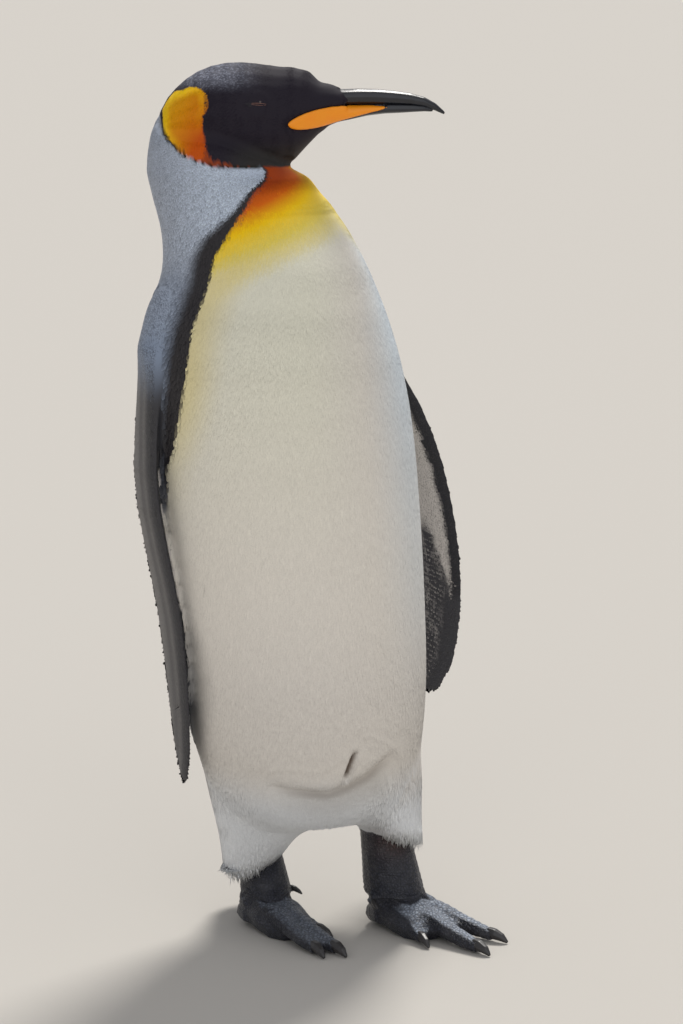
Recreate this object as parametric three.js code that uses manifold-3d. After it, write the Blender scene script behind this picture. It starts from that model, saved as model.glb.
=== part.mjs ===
// A standing king penguin, life size, as a still model. Millimetres, +Z up.
// The bird faces -Y with its left side towards +X. The group is centred over the floor at the end.
import * as THREE from "three";
import { mergeVertices } from "three/addons/utils/BufferGeometryUtils.js";
import Module from "manifold-3d";

const wasm = await Module();
wasm.setup();

// ---------- driving dimensions ----------
const gap = 0.3; // clearance between touching pieces
const slack = 0.02; // how far a finished surface may leave its drawn shape
const footSlack = 0.7; // the same for a foot, before its claws are let in
const bodySegments = 28; // points round the trunk and neck
const bodyRings = 24; // rings up the trunk and neck
const neckBase = 562; // height of the cut between trunk and neck
const headTurn = 52; // degrees that the head looks to the bird's left
const headCentre = new THREE.Vector3(-39.5, 57.5, 713.5);
const eyeRadius = 8.5;
const eyePlace = { forward: 15, side: 29.6, up: 10.5 }; // from the head's centre
const keel = 2.5; // half the strip of bill between the two plates
const plateDepth = 2.6; // how deep a plate is let into the bill and the cheek
const thinnest = 0.4; // least half width of a section on the head
const flipperChord = 70; // widest part of a flipper
const toeRadius = 8.2; // half the width of a toe at its root
const ankleHeight = 31; // crease between the tarsus and the foot
const clawLength = 17;
const tailLength = 140; // from inside the rump to the tip

// ---------- helpers ----------
const vec = (x, y, z) => new THREE.Vector3(x, y, z);
const radians = THREE.MathUtils.degToRad;

// A smooth value for every key of the stations, at any place along them.
function along(stations, place) {
  const keys = Object.keys(stations[0]).filter((key) => key !== place);
  const places = new Float32Array(stations.map((s) => s[place]));
  const values = new Float32Array(stations.flatMap((s) => keys.map((key) => s[key])));
  const curve = new THREE.CubicInterpolant(places, values, keys.length);
  return (at) => {
    const found = curve.evaluate(at);
    return Object.fromEntries(keys.map((key, i) => [key, found[i]]));
  };
}

// A closed surface through rings of points, with a pole at each end.
// The rings turn anticlockwise seen from the far end.
function loft(rings, first, last) {
  const count = rings[0].length;
  const points = [...rings.flat(), first, last];
  const start = points.length - 2;
  const end = points.length - 1;
  const index = [];
  const at = (ring, i) => ring * count + (i % count);
  for (let i = 0; i < count; i++) {
    index.push(start, at(0, i + 1), at(0, i));
    index.push(end, at(rings.length - 1, i), at(rings.length - 1, i + 1));
    for (let ring = 0; ring + 1 < rings.length; ring++) {
      index.push(at(ring, i), at(ring, i + 1), at(ring + 1, i));
      index.push(at(ring, i + 1), at(ring + 1, i + 1), at(ring + 1, i));
    }
  }
  const geometry = new THREE.BufferGeometry().setFromPoints(points);
  return geometry.setIndex(index);
}

// A rounded section: half as wide as `side`, reaching `front` one way and `back` the other.
function section(centre, sideways, forward, shape, count) {
  const power = 2 / (shape.square ?? 2);
  return Array.from({ length: count }, (_, i) => {
    const angle = (2 * Math.PI * i) / count;
    const c = Math.sign(Math.cos(angle)) * Math.abs(Math.cos(angle)) ** power;
    const s = Math.sign(Math.sin(angle)) * Math.abs(Math.sin(angle)) ** power;
    const reach = s > 0 ? shape.front : shape.back;
    return centre
      .clone()
      .addScaledVector(sideways, c * shape.side)
      .addScaledVector(forward, s * reach);
  });
}

const larger = (shape, grow) => ({
  ...shape,
  side: shape.side + grow,
  front: shape.front + grow,
  back: shape.back + grow,
});

function solid(geometry) {
  const plain = geometry.clone();
  plain.deleteAttribute("normal");
  plain.deleteAttribute("uv");
  const merged = mergeVertices(plain, 1e-4);
  return new wasm.Manifold(
    new wasm.Mesh({
      numProp: 3,
      vertProperties: merged.attributes.position.array,
      triVerts: new Uint32Array(merged.index.array),
    }),
  );
}

const floorCut = (piece) => piece.trimByPlane([0, 0, 1], 0);

// ---------- trunk and neck ----------
// Heights up the body. x and y place the middle, turn twists the neck towards the head.
const bodyStations = [
  { z: 99, x: -18.5, y: -12.5, side: 28, front: 26, back: 28, turn: 0, square: 2 },
  { z: 104, x: -18.5, y: -14.5, side: 57, front: 48, back: 57, turn: 0, square: 2 },
  { z: 121, x: -19.5, y: -14.5, side: 80, front: 70, back: 80, turn: 0, square: 2.1 },
  { z: 152, x: -20.5, y: -12.5, side: 94, front: 89, back: 94, turn: 0, square: 2.15 },
  { z: 213, x: -24.5, y: -7.5, side: 105, front: 107, back: 100, turn: 0, square: 2.15 },
  { z: 300, x: -28.5, y: -1.5, side: 111, front: 114, back: 104, turn: 0, square: 2.1 },
  { z: 387, x: -33.5, y: 4.5, side: 114, front: 116, back: 108, turn: 0, square: 2.1 },
  { z: 472, x: -37.5, y: 12.5, side: 113, front: 115, back: 108, turn: 2, square: 2.1 },
  { z: 537, x: -39.5, y: 23.5, side: 102, front: 111, back: 100, turn: 6, square: 2.1 },
  { z: 594, x: -38.5, y: 35.5, side: 78, front: 96.5, back: 83, turn: 16, square: 2.1 },
  { z: 627, x: -41.5, y: 47.5, side: 68, front: 84, back: 80.5, turn: 30, square: 2 },
  { z: 652, x: -47.5, y: 58.5, side: 60, front: 73, back: 75, turn: 42, square: 2 },
  { z: 670, x: -54.5, y: 68.5, side: 53, front: 59, back: 66, turn: 49, square: 2 },
  { z: 686, x: -59.5, y: 74.5, side: 47, front: 49, back: 56, turn: 52, square: 2 },
  { z: 707, x: -61.5, y: 76.5, side: 39, front: 42, back: 48, turn: 52, square: 2 },
  { z: 724, x: -59.5, y: 75.5, side: 30, front: 34, back: 38, turn: 52, square: 2 },
];
const bodyAt = along(bodyStations, "z");

function bodyRing(height, grow) {
  const drawn = bodyAt(height);
  const shape = larger(drawn, grow);
  const turn = radians(shape.turn);
  const sideways = vec(Math.cos(turn), Math.sin(turn), 0);
  const forward = vec(Math.sin(turn), -Math.cos(turn), 0);
  // The ring runs clockwise seen from above, so the list is turned round.
  const middle = vec(shape.x, shape.y, height === bodyStations[0].z ? height - grow : height);
  return section(middle, sideways, forward, shape, bodySegments).reverse();
}

function makeBody(grow = 0) {
  const lowest = bodyStations[0].z;
  const highest = bodyStations.at(-1).z;
  const heights = Array.from({ length: bodyRings }, (_, i) => {
    const share = i / (bodyRings - 1);
    // Rings lie closer together at the two ends, where the outline turns fastest.
    return lowest + (highest - lowest) * (share - 0.09 * Math.sin(2 * Math.PI * share));
  });
  const bottom = bodyAt(lowest);
  const top = bodyAt(highest);
  return solid(
    loft(
      heights.map((height) => bodyRing(height, grow)),
      vec(bottom.x, bottom.y, lowest - 2 - grow),
      vec(top.x, top.y, highest + 10 + grow),
    ),
  );
}

// ---------- head and bill ----------
// Everything on the head is drawn looking along -Y, then turned and placed.
const headPlace = new THREE.Matrix4()
  .makeRotationZ(radians(headTurn))
  .setPosition(headCentre);

// Places forward of the head's centre, with the crown, the underside and half the width there.
const headStations = [
  { f: -70, top: 5, low: -20, side: 18 },
  { f: -64, top: 15.5, low: -30, side: 27 },
  { f: -56, top: 24.5, low: -36, side: 33.5 },
  { f: -43, top: 35, low: -41, side: 39 },
  { f: -28, top: 42, low: -44, side: 41.5 },
  { f: -8, top: 45.8, low: -46, side: 41 },
  { f: 9, top: 45.2, low: -46, side: 39 },
  { f: 26, top: 42.8, low: -46.5, side: 35.5 },
  { f: 39, top: 41.6, low: -43.5, side: 31.5 },
  { f: 45, top: 40.8, low: -39.6, side: 29.6 },
  { f: 50, top: 38.4, low: -34.5, side: 27.5 },
  { f: 58.5, top: 34, low: -24.5, side: 24 },
  { f: 66, top: 28.6, low: -17, side: 21 },
  { f: 74, top: 25.6, low: -10.5, side: 17.5 },
  { f: 83, top: 23, low: -6.8, side: 14.6 },
  { f: 89, top: 21.2, low: -5, side: 13 },
];
const upperBillStations = [
  { f: 70, top: 22.5, low: 6, side: 9 },
  { f: 88, top: 21.8, low: 8.3, side: 11 },
  { f: 102, top: 22.2, low: 8.7, side: 9.6 },
  { f: 118, top: 21.6, low: 8.7, side: 8.2 },
  { f: 134, top: 19.9, low: 8.4, side: 6.9 },
  { f: 149, top: 17.2, low: 8, side: 5.4 },
  { f: 160, top: 13.2, low: 6, side: 4 },
  { f: 168, top: 7.8, low: 2.8, side: 2.6 },
  { f: 173, top: 3, low: 0.6, side: 1.2 },
];
const lowerBillStations = [
  { f: 66, top: 7, low: -8, side: 9 },
  { f: 84, top: 7.9, low: -5.6, side: 12 },
  { f: 97, top: 8.3, low: -2.6, side: 10.6 },
  { f: 108, top: 8.3, low: -0.2, side: 9.2 },
  { f: 118, top: 8.3, low: 1.2, side: 8 },
  { f: 128, top: 8, low: 1.6, side: 6.8 },
  { f: 143, top: 7.6, low: 2.5, side: 5.4 },
  { f: 156, top: 6.2, low: 3.3, side: 3.7 },
  { f: 163, top: 4.6, low: 3.1, side: 1.9 },
];

// A solid along the head's length, `grow` larger all round.
function headLoft(stations, rings, count, grow = 0, square = 2) {
  const at = along(stations, "f");
  const from = stations[0].f;
  const to = stations.at(-1).f;
  const places = Array.from({ length: rings }, (_, i) => {
    const share = i / (rings - 1);
    return from + (to - from) * (share - 0.06 * Math.sin(2 * Math.PI * share));
  });
  const middle = (shape, f) => vec(0, -f, (shape.top + shape.low) / 2);
  const outline = places.map((f) => {
    const shape = at(f);
    const tall = Math.max((shape.top - shape.low) / 2 + grow, thinnest);
    const oval = { side: Math.max(shape.side + grow, thinnest), front: tall, back: tall, square };
    return section(middle(shape, f), vec(1, 0, 0), vec(0, 0, 1), oval, count);
  });
  const depth = Math.min(6, (at(from).top - at(from).low) / 5);
  const point = Math.min(3, (at(to).top - at(to).low) / 3);
  const first = middle(at(from), from - depth - grow);
  const last = middle(at(to), to + point + grow);
  return solid(loft(outline, first, last));
}

// The side plate of the lower bill, as a drop-shaped outline seen from the side.
function plateOutline(grow) {
  const shape = new THREE.Shape();
  const rear = 39.5 - grow;
  const tip = 126.5 + 2 * grow;
  shape.moveTo(rear, -7);
  shape.bezierCurveTo(rear + 3, -2 + grow, 62, 7.4 + grow, 88, 8 + grow);
  shape.bezierCurveTo(100, 8.2 + grow, 118, 8 + grow, tip, 6.4);
  shape.bezierCurveTo(112, 3.4 - grow, 96, -0.6 - grow, 80, -5.4 - grow);
  shape.bezierCurveTo(66, -10.6 - grow, 42 - grow, -14.5 - grow, rear, -7);
  return shape;
}

function plateBlock(grow, side) {
  const block = new THREE.ExtrudeGeometry(plateOutline(grow), {
    depth: 60,
    bevelEnabled: false,
    curveSegments: 6,
  });
  // The outline's x runs forward along -Y and its y runs up, and the block reaches out to one side.
  const toSide = new THREE.Matrix4().makeBasis(vec(0, -1, 0), vec(0, 0, 1), vec(-1, 0, 0));
  block.applyMatrix4(toSide.setPosition(grow - keel, 0, 0));
  const right = solid(block);
  return side < 0 ? right : right.mirror([1, 0, 0]);
}

function makeHeadPieces() {
  const skull = (grow) => headLoft(headStations, 16, 20, grow);
  const upper = (grow) => headLoft(upperBillStations, 10, 10, grow, 2.1);
  const lower = (grow) => headLoft(lowerBillStations, 10, 10, grow, 2.1);
  // The plates stand a little proud of the head, and lie on a plainer floor inside it.
  const floorAt = (depth) => {
    const cheek = headLoft(headStations, 10, 14, -depth);
    return cheek.add(headLoft(lowerBillStations, 6, 8, -depth, 2.1));
  };
  const outside = skull(0.7).add(lower(0.7));
  const upperRoom = upper(gap);
  let head = skull(0).subtract(upperRoom).subtract(lower(gap));
  let jaw = lower(0).subtract(upperRoom);
  const pieces = { bill_upper: upper(0) };
  for (const [name, side] of [["right", -1], ["left", 1]]) {
    const plate = outside.subtract(floorAt(plateDepth)).intersect(plateBlock(0, side));
    const rebate = plateBlock(gap, side).subtract(floorAt(plateDepth + gap + 0.1));
    head = head.subtract(rebate).subtract(eyeBall(side, gap));
    jaw = jaw.subtract(rebate);
    pieces["plate_" + name] = plate.subtract(upperRoom);
    pieces["eye_" + name] = eyeBall(side, 0);
  }
  pieces.bill_lower = jaw;
  pieces.head = head;
  for (const name of Object.keys(pieces)) {
    pieces[name] = pieces[name].transform(headPlace.elements);
  }
  return { pieces, room: skull(gap).transform(headPlace.elements) };
}

function eyeBall(side, grow) {
  const ball = new THREE.SphereGeometry(eyeRadius + grow, 10, 7);
  ball.translate(side * eyePlace.side, -eyePlace.forward, eyePlace.up);
  return solid(ball);
}

// ---------- flippers ----------
// Shares of the way from the shoulder to the tip. lead is the front edge's place, chord the width.
const flipperStations = [
  { t: 0, lead: 14, chord: 36, thick: 24 },
  { t: 0.05, lead: 25, chord: 60, thick: 37 },
  { t: 0.1, lead: 31, chord: 70, thick: 38 },
  { t: 0.2, lead: 34, chord: 68, thick: 20 },
  { t: 0.34, lead: 37, chord: 69, thick: 12.5 },
  { t: 0.48, lead: 39, chord: flipperChord, thick: 11 },
  { t: 0.62, lead: 38, chord: 67, thick: 9.5 },
  { t: 0.76, lead: 34, chord: 59, thick: 8 },
  { t: 0.87, lead: 28, chord: 48, thick: 6.5 },
  { t: 0.945, lead: 20, chord: 34, thick: 5.2 },
  { t: 0.985, lead: 10, chord: 17, thick: 3.6 },
];
const flipperAt = along(flipperStations, "t");

// path runs from the shoulder to the tip. The two angles turn the front edge from straight ahead.
function makeFlipper(path, rootAngle, tipAngle) {
  const curve = new THREE.CatmullRomCurve3(path);
  const rings = 15;
  const count = 12;
  const outline = Array.from({ length: rings }, (_, ring) => {
    const share = (0.985 * ring) / (rings - 1);
    const t = share + 0.04 * Math.sin(Math.PI * share);
    const at = Math.min(t, 0.985);
    const shape = flipperAt(at);
    const down = curve.getTangentAt(at);
    const angle = radians(rootAngle + (tipAngle - rootAngle) * at);
    const ahead = vec(Math.sin(angle), -Math.cos(angle), 0);
    ahead.addScaledVector(down, -ahead.dot(down)).normalize();
    const outward = down.clone().cross(ahead);
    const middle = curve.getPointAt(at).addScaledVector(ahead, shape.lead - shape.chord / 2);
    return Array.from({ length: count }, (_, i) => {
      const turn = (2 * Math.PI * i) / count;
      // Thickest a third of the way back from the front edge.
      const bulge = (Math.sin(turn) * (1 + 0.4 * Math.cos(turn)) * shape.thick) / 2.1;
      return middle
        .clone()
        .addScaledVector(ahead, (Math.cos(turn) * shape.chord) / 2)
        .addScaledVector(outward, bulge);
    });
  });
  const tip = curve.getPointAt(1);
  const root = curve.getPointAt(0);
  return solid(loft(outline, root, tip));
}

// ---------- legs and feet ----------
const legStations = [
  { s: 0, side: 50, front: 52, back: 52 },
  { s: 0.28, side: 47, front: 50, back: 50 },
  { s: 0.53, side: 40, front: 43, back: 43 },
  { s: 0.75, side: 33.5, front: 36, back: 36 },
  { s: 0.9, side: 31, front: 33, back: 33 },
  { s: 1, side: 30, front: 32, back: 32 },
];
const legAt = along(legStations, "s");

// The hem slants: it is higher on the inner side of the leg. full swells the front of the thigh.
function makeLeg({ hip, hem, slant, full }, grow = 0) {
  const rings = 9;
  const end = hem.clone().add(vec(0, 0, -grow));
  const outline = Array.from({ length: rings }, (_, ring) => {
    const share = ring / (rings - 1);
    const centre = hip.clone().lerp(end, share);
    const sideways = vec(1, 0, slant * share * share);
    const shape = larger(legAt(share), grow);
    shape.front *= 1 + full * (1 - share ** 3);
    return section(centre, sideways, vec(0, -1, 0), shape, 18);
  });
  // The rings go down, and the section turns clockwise seen from above.
  const first = hip.clone().add(vec(0, 0, 4));
  const last = end.clone().add(vec(0, 0, 3));
  return solid(loft(outline, first, last));
}

// Toes of a left foot, seen from the ankle: angle from straight ahead, reach to the claw's tip,
// how far the root stands to the outer side, and how high the toe arches.
const toes = [
  { name: "inner", angle: -20, reach: 70, root: 15, bend: 0.9, aside: -3, arch: 0 },
  { name: "middle", angle: 0, reach: 116, root: 17, bend: 1.05, aside: 1, arch: 1 },
  { name: "outer", angle: 20, reach: 108, root: 15, bend: 1, aside: 10, arch: 4 },
];

function tube(points, radii, count = 12, flat = 1) {
  const curve = new THREE.CatmullRomCurve3(points);
  const rings = radii.length + 1;
  const spots = Float32Array.from(radii, (_, i) => i / (radii.length - 1));
  const sizes = new THREE.CubicInterpolant(spots, Float32Array.from(radii), 1);
  const outline = Array.from({ length: rings }, (_, ring) => {
    const t = ring / (rings - 1);
    const ahead = curve.getTangentAt(t);
    const sideways = ahead.clone().cross(vec(0, 0, 1)).normalize();
    const up = sideways.clone().cross(ahead);
    const radius = sizes.evaluate(t)[0];
    const oval = { side: radius, front: radius * flat, back: radius * flat };
    // Sideways, then up, turns clockwise seen from the far end, so the list is turned round.
    return section(curve.getPointAt(t), sideways, up, oval, count).reverse();
  });
  const startAlong = curve.getTangentAt(0).multiplyScalar(-radii[0] * 0.5);
  const endAlong = curve.getTangentAt(1).multiplyScalar(radii.at(-1) * 0.5);
  const first = curve.getPointAt(0).add(startAlong);
  const last = curve.getPointAt(1).add(endAlong);
  return solid(loft(outline, first, last));
}

// A toe's turn from straight ahead. spread draws the outer toe in when it is below 1.
const toeTurn = (toe, spread) => radians(toe.name === "outer" ? toe.angle * spread : toe.angle);

// A foot in its own frame: the ankle over the origin, toes along -Y, the outer toe towards +X.
function makeFoot(spread) {
  const pad = tube(
    [vec(0, 24, 10), vec(0, 10, 14), vec(0, -8, 16), vec(0, -28, 11), vec(0, -46, 7)],
    [15, 20, 24, 24, 17],
    10,
    0.72,
  );
  const instep = tube([vec(0, 4, 8), vec(0, 3, 22), vec(0, 4, ankleHeight)], [22, 23, 21], 10);
  let foot = pad.add(instep).add(makeWeb(spread));
  const claws = {};
  const rooms = [];
  const addClaw = (name, path, radii) => {
    claws[name] = floorCut(tube(path, radii, 6, 1.05));
    rooms.push(tube(path, radii.map((radius) => radius + gap), 6, 1.05));
  };
  for (const toe of toes) {
    const turn = toeTurn(toe, spread);
    const ahead = vec(Math.sin(turn), -Math.cos(turn), 0);
    const outer = vec(Math.cos(turn), Math.sin(turn), 0);
    const length = toe.reach - toe.root - clawLength * 0.8;
    const spot = (reach, height) => {
      const share = Math.max(1 - reach / length, 0);
      const onLine = ahead.clone().multiplyScalar(toe.root + reach);
      return onLine.addScaledVector(outer, toe.aside * share).setZ(height + toe.arch * share);
    };
    const knuckles = [
      spot(-4, 20),
      spot(length * 0.25, 18),
      spot(length * 0.5, 12.6),
      spot(length * 0.74, 8.8),
      spot(length, 6.2),
    ];
    const r = toeRadius * toe.bend;
    foot = foot.add(tube(knuckles, [r * 1.15, r * 1.15, r * 1.05, r, r * 0.74], 7, 0.95));
    const nail = [
      spot(length - 5, 7.8),
      spot(length + clawLength * 0.3, 6.8),
      spot(length + clawLength * 0.8, 1.9),
    ];
    addClaw(toe.name, nail, [r * 0.6, r * 0.54, r * 0.15]);
  }
  // The hind toe is a small stub on the inner side with its own claw.
  foot = foot.add(tube([vec(-16, 8, 25), vec(-25, 4, 30.5), vec(-29.5, -2, 30)], [6.5, 5.6, 4.6], 7));
  addClaw("hind", [vec(-28, 0, 30.6), vec(-31, -5, 29), vec(-32.5, -10.5, 26)], [2.5, 2.2, 0.7]);
  foot = floorCut(foot).simplify(footSlack);
  for (const room of rooms) {
    foot = foot.subtract(room);
  }
  return { foot, claws };
}

// The web between the toes, a thin sheet that reaches two thirds of the way along them.
function makeWeb(spread) {
  const edge = (toe, share) => {
    const turn = toeTurn(toe, spread);
    return [Math.sin(turn) * toe.reach * share, Math.cos(turn) * toe.reach * share];
  };
  const outline = new THREE.Shape();
  outline.moveTo(0, 0);
  outline.lineTo(...edge(toes[0], 0.74));
  outline.quadraticCurveTo(6, 42, ...edge(toes[1], 0.62));
  outline.quadraticCurveTo(14 * spread, 52, ...edge(toes[2], 0.66));
  const web = new THREE.ExtrudeGeometry(outline, { depth: 4, bevelEnabled: false, curveSegments: 4 });
  web.applyMatrix4(new THREE.Matrix4().makeBasis(vec(1, 0, 0), vec(0, -1, 0), vec(0, 0, -1)));
  web.translate(0, 0, 6.5);
  return solid(web);
}

function makeTarsus([low, top], wide, grow = 0) {
  const rings = 6;
  const start = low.clone().add(vec(0, 0, -grow));
  const shapes = along(
    [
      { s: 0, side: 24, front: 28, back: 26 },
      { s: 0.25, side: 22, front: 26, back: 25 },
      { s: 0.6, side: 20, front: 22, back: 23 },
      { s: 1, side: 19, front: 21, back: 22 },
    ],
    "s",
  );
  const outline = Array.from({ length: rings }, (_, ring) => {
    const share = ring / (rings - 1);
    const shape = larger(shapes(share), grow);
    const centre = start.clone().lerp(top, share);
    return section(centre, vec(wide, 0, 0), vec(0, -wide, 0), shape, 16).reverse();
  });
  return solid(loft(outline, start.clone().add(vec(0, 0, -3)), top.clone().add(vec(0, 0, 2))));
}

// ---------- tail ----------
function makeTail() {
  const stations = along(
    [
      { s: 0, side: 60, front: 40, back: 32 },
      { s: 0.3, side: 52, front: 29, back: 22 },
      { s: 0.55, side: 41, front: 15, back: 13 },
      { s: 0.8, side: 30, front: 6, back: 5.5 },
      { s: 1, side: 18, front: 2.4, back: 2.4 },
    ],
    "s",
  );
  const root = vec(-18.5, 36, 190);
  const tip = vec(-16.5, 96, 190 - tailLength);
  const outline = Array.from({ length: 8 }, (_, ring) => {
    const share = ring / 7;
    const centre = root.clone().lerp(tip, share);
    return section(centre, vec(1, 0, 0), vec(0, -1, 0.2), stations(share), 16);
  });
  return solid(loft(outline, root.clone().add(vec(0, 0, 2)), tip.clone().add(vec(0, 0, -3))));
}

// ---------- finishes ----------
const finish = (colour, roughness) =>
  new THREE.MeshStandardMaterial({ color: colour, roughness, metalness: 0 });
const finishes = {
  white: finish("#e6e4dd", 0.75),
  back: finish("#5d6a78", 0.7),
  head: finish("#17161a", 0.75),
  bill: finish("#15161a", 0.35),
  plate: finish("#f08a1c", 0.4),
  eye: finish("#3a2317", 0.1),
  flipper: finish("#3b3d45", 0.65),
  foot: finish("#2a2b31", 0.55),
  claw: finish("#121215", 0.4),
};

// ---------- assembly ----------
const penguin = new THREE.Group();

// The largest body of a solid, without the slivers that a cut leaves.
function biggest(piece) {
  return piece.decompose().sort((a, b) => b.volume() - a.volume())[0];
}

function place(name, piece, material) {
  const made = biggest(piece).simplify(slack).getMesh();
  const geometry = new THREE.BufferGeometry()
    .setAttribute("position", new THREE.BufferAttribute(new Float32Array(made.vertProperties), 3))
    .setIndex(new THREE.BufferAttribute(new Uint32Array(made.triVerts), 1));
  geometry.computeVertexNormals();
  const mesh = new THREE.Mesh(geometry, material);
  mesh.name = name;
  penguin.add(mesh);
}

// Shoulder to tip, with the angle of the front edge from straight ahead at each end.
const flippers = {
  right: makeFlipper(
    [
      vec(-99.5, 46.5, 580),
      vec(-129.5, 56.5, 542),
      vec(-138.5, 55.5, 502),
      vec(-147, 51.5, 457),
      vec(-150, 50, 402),
      vec(-137, 34.5, 282),
      vec(-127, 28.5, 143),
    ],
    -21,
    -14,
  ),
  left: makeFlipper(
    [
      vec(16.5, 12.5, 564),
      vec(46.5, 18.5, 514),
      vec(89.5, 28.5, 462),
      vec(124.5, 40.5, 402),
      vec(162.5, 52.5, 282),
      vec(186.5, 74.5, 169),
    ],
    24,
    40,
  ),
};

// The left foot stands a step ahead of the right one.
const stances = {
  right: {
    ankle: vec(-44.5, 22, 0),
    turn: 0,
    hip: vec(-60.5, 12.5, 178),
    hem: vec(-54.5, 23.5, 68),
    slant: 0.42,
    full: 0.9,
    shin: [vec(-44.5, 22, 34), vec(-54.5, 23.5, 100)],
    wide: 0.93,
    spread: 0.45,
  },
  left: {
    ankle: vec(45, -51, 0),
    turn: 5,
    hip: vec(18.5, -29.5, 178),
    hem: vec(39.5, -50.5, 88),
    slant: -0.2,
    full: 0.1,
    shin: [vec(43.5, -49.5, 34), vec(30.5, -49.5, 110)],
    wide: 1.1,
    spread: 1,
  },
};

const body = makeBody();
const bodyRoom = makeBody(gap);
let tail = makeTail().subtract(bodyRoom);
for (const [side, stance] of Object.entries(stances)) {
  const { ankle, turn, shin, wide, spread } = stance;
  const legRoom = makeLeg(stance, gap);
  const tarsusRoom = makeTarsus(shin, wide, gap);
  tail = tail.subtract(legRoom);
  place("flipper_" + side, flippers[side].subtract(bodyRoom), finishes.flipper);
  place("leg_" + side, makeLeg(stance).subtract(bodyRoom), finishes.white);
  place("tarsus_" + side, makeTarsus(shin, wide).subtract(legRoom), finishes.foot);
  const spot = new THREE.Matrix4().makeRotationZ(radians(turn)).setPosition(ankle);
  // The foot is drawn as a left one.
  const stand = (piece) => (side === "left" ? piece : piece.mirror([1, 0, 0])).transform(spot.elements);
  const { foot, claws } = makeFoot(spread);
  place("foot_" + side, stand(foot).subtract(tarsusRoom), finishes.foot);
  for (const [name, claw] of Object.entries(claws)) {
    place(`claw_${name}_${side}`, stand(claw), finishes.claw);
  }
}

const { pieces: headPieces, room: headRoom } = makeHeadPieces();
place("trunk", body.trimByPlane([0, 0, -1], gap / 2 - neckBase), finishes.white);
place("neck", body.trimByPlane([0, 0, 1], neckBase + gap / 2).subtract(headRoom), finishes.back);
place("tail", tail, finishes.back);
for (const [name, piece] of Object.entries(headPieces)) {
  // head, bill, plate or eye
  place(name, piece, finishes[name.split("_")[0]]);
}

const box = new THREE.Box3().setFromObject(penguin);
penguin.position.set(-(box.min.x + box.max.x) / 2, -(box.min.y + box.max.y) / 2, -box.min.z);

export default penguin;
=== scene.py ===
import math
from contextlib import contextmanager

import bpy
import numpy as np
from mathutils import Matrix, Vector
from mathutils.bvhtree import BVHTree


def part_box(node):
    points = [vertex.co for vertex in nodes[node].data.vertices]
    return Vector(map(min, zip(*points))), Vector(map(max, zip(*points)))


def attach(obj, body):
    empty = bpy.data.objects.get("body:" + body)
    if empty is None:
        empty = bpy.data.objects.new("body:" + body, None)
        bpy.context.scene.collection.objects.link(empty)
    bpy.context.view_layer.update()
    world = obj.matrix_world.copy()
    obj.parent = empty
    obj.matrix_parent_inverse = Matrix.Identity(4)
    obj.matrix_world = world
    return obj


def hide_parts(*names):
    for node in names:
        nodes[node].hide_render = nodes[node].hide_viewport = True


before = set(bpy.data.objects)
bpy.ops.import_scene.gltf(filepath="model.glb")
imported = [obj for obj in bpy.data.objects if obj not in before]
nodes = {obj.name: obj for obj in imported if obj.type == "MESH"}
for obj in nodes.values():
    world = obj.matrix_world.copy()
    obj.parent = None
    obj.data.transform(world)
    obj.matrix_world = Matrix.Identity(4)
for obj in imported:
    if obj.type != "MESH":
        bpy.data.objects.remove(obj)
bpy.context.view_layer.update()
dice = np.random.default_rng(11)
print("frame loaded", len(nodes), "nodes")


sides = ("right", "left")


def activate(item, others=()):  # selects it, alone or with others
    for chosen in bpy.context.selected_objects:
        chosen.select_set(False)
    for chosen in (item, *others):
        chosen.select_set(True)
    bpy.context.view_layer.objects.active = item
    return item


@contextmanager
def editing(item):  # edit mode, with the whole mesh selected
    activate(item)
    bpy.ops.object.mode_set(mode="EDIT")
    bpy.ops.mesh.select_all(action="SELECT")
    yield
    bpy.ops.object.mode_set(mode="OBJECT")


def copyOf(node):  # a merged copy, because a node's mesh is loose triangles
    item = bpy.data.objects.new(node + "_copy", nodes[node].data.copy())
    bpy.context.scene.collection.objects.link(item)
    item.data.materials.clear()
    with editing(item):
        bpy.ops.mesh.remove_doubles(threshold=0.00002)
        bpy.ops.mesh.normals_make_consistent(inside=False)
    return item


def joined(items, name):
    activate(items[0], items[1:])
    bpy.ops.object.join()
    items[0].name = items[0].data.name = name
    return items[0]


def smoothShaded(item, name):
    activate(item)
    bpy.ops.object.shade_smooth()
    item.name = item.data.name = name
    return item


def modify(item, kind, **settings):  # adds a modifier and applies it
    activate(item)
    extra = item.modifiers.new(kind.lower(), kind)
    for key, value in settings.items():
        setattr(extra, key, value)
    bpy.ops.object.modifier_apply(modifier=extra.name)


def setWeights(item, name, weights):
    group = item.vertex_groups.get(name) or item.vertex_groups.new(name=name)
    for level in np.unique(np.round(weights, 2)):
        group.add(np.nonzero(np.round(weights, 2) == level)[0].tolist(), float(level), "REPLACE")


def readAll(rows, key, width, kind=np.float32):
    flat = np.empty(len(rows) * width, kind)
    rows.foreach_get(key, flat)
    return flat.reshape(-1, width)


def placesOf(mesh):
    return readAll(mesh.vertices, "co", 3).astype(float)


def normalsOf(mesh):
    return readAll(mesh.vertices, "normal", 3).astype(float)


def edgesOf(mesh):
    return readAll(mesh.edges, "vertices", 2, np.int32)


def trianglesOf(mesh):
    mesh.calc_loop_triangles()
    return readAll(mesh.loop_triangles, "vertices", 3, np.int32)


def setPlaces(item, places):
    item.data.vertices.foreach_set("co", places.astype(np.float32).ravel())
    item.data.update()


def unit(rows):
    return rows / np.maximum(np.linalg.norm(rows, axis=1, keepdims=True), 1e-9)


def ease(low, high, value):  # 0 below low, 1 above high, smooth between
    share = np.clip((value - low) / (high - low), 0, 1)
    return share * share * (3 - 2 * share)


def hump(value, width):  # 1 where the value is 0, and falling away on both sides
    return np.exp(-((value / width) ** 2))


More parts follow.
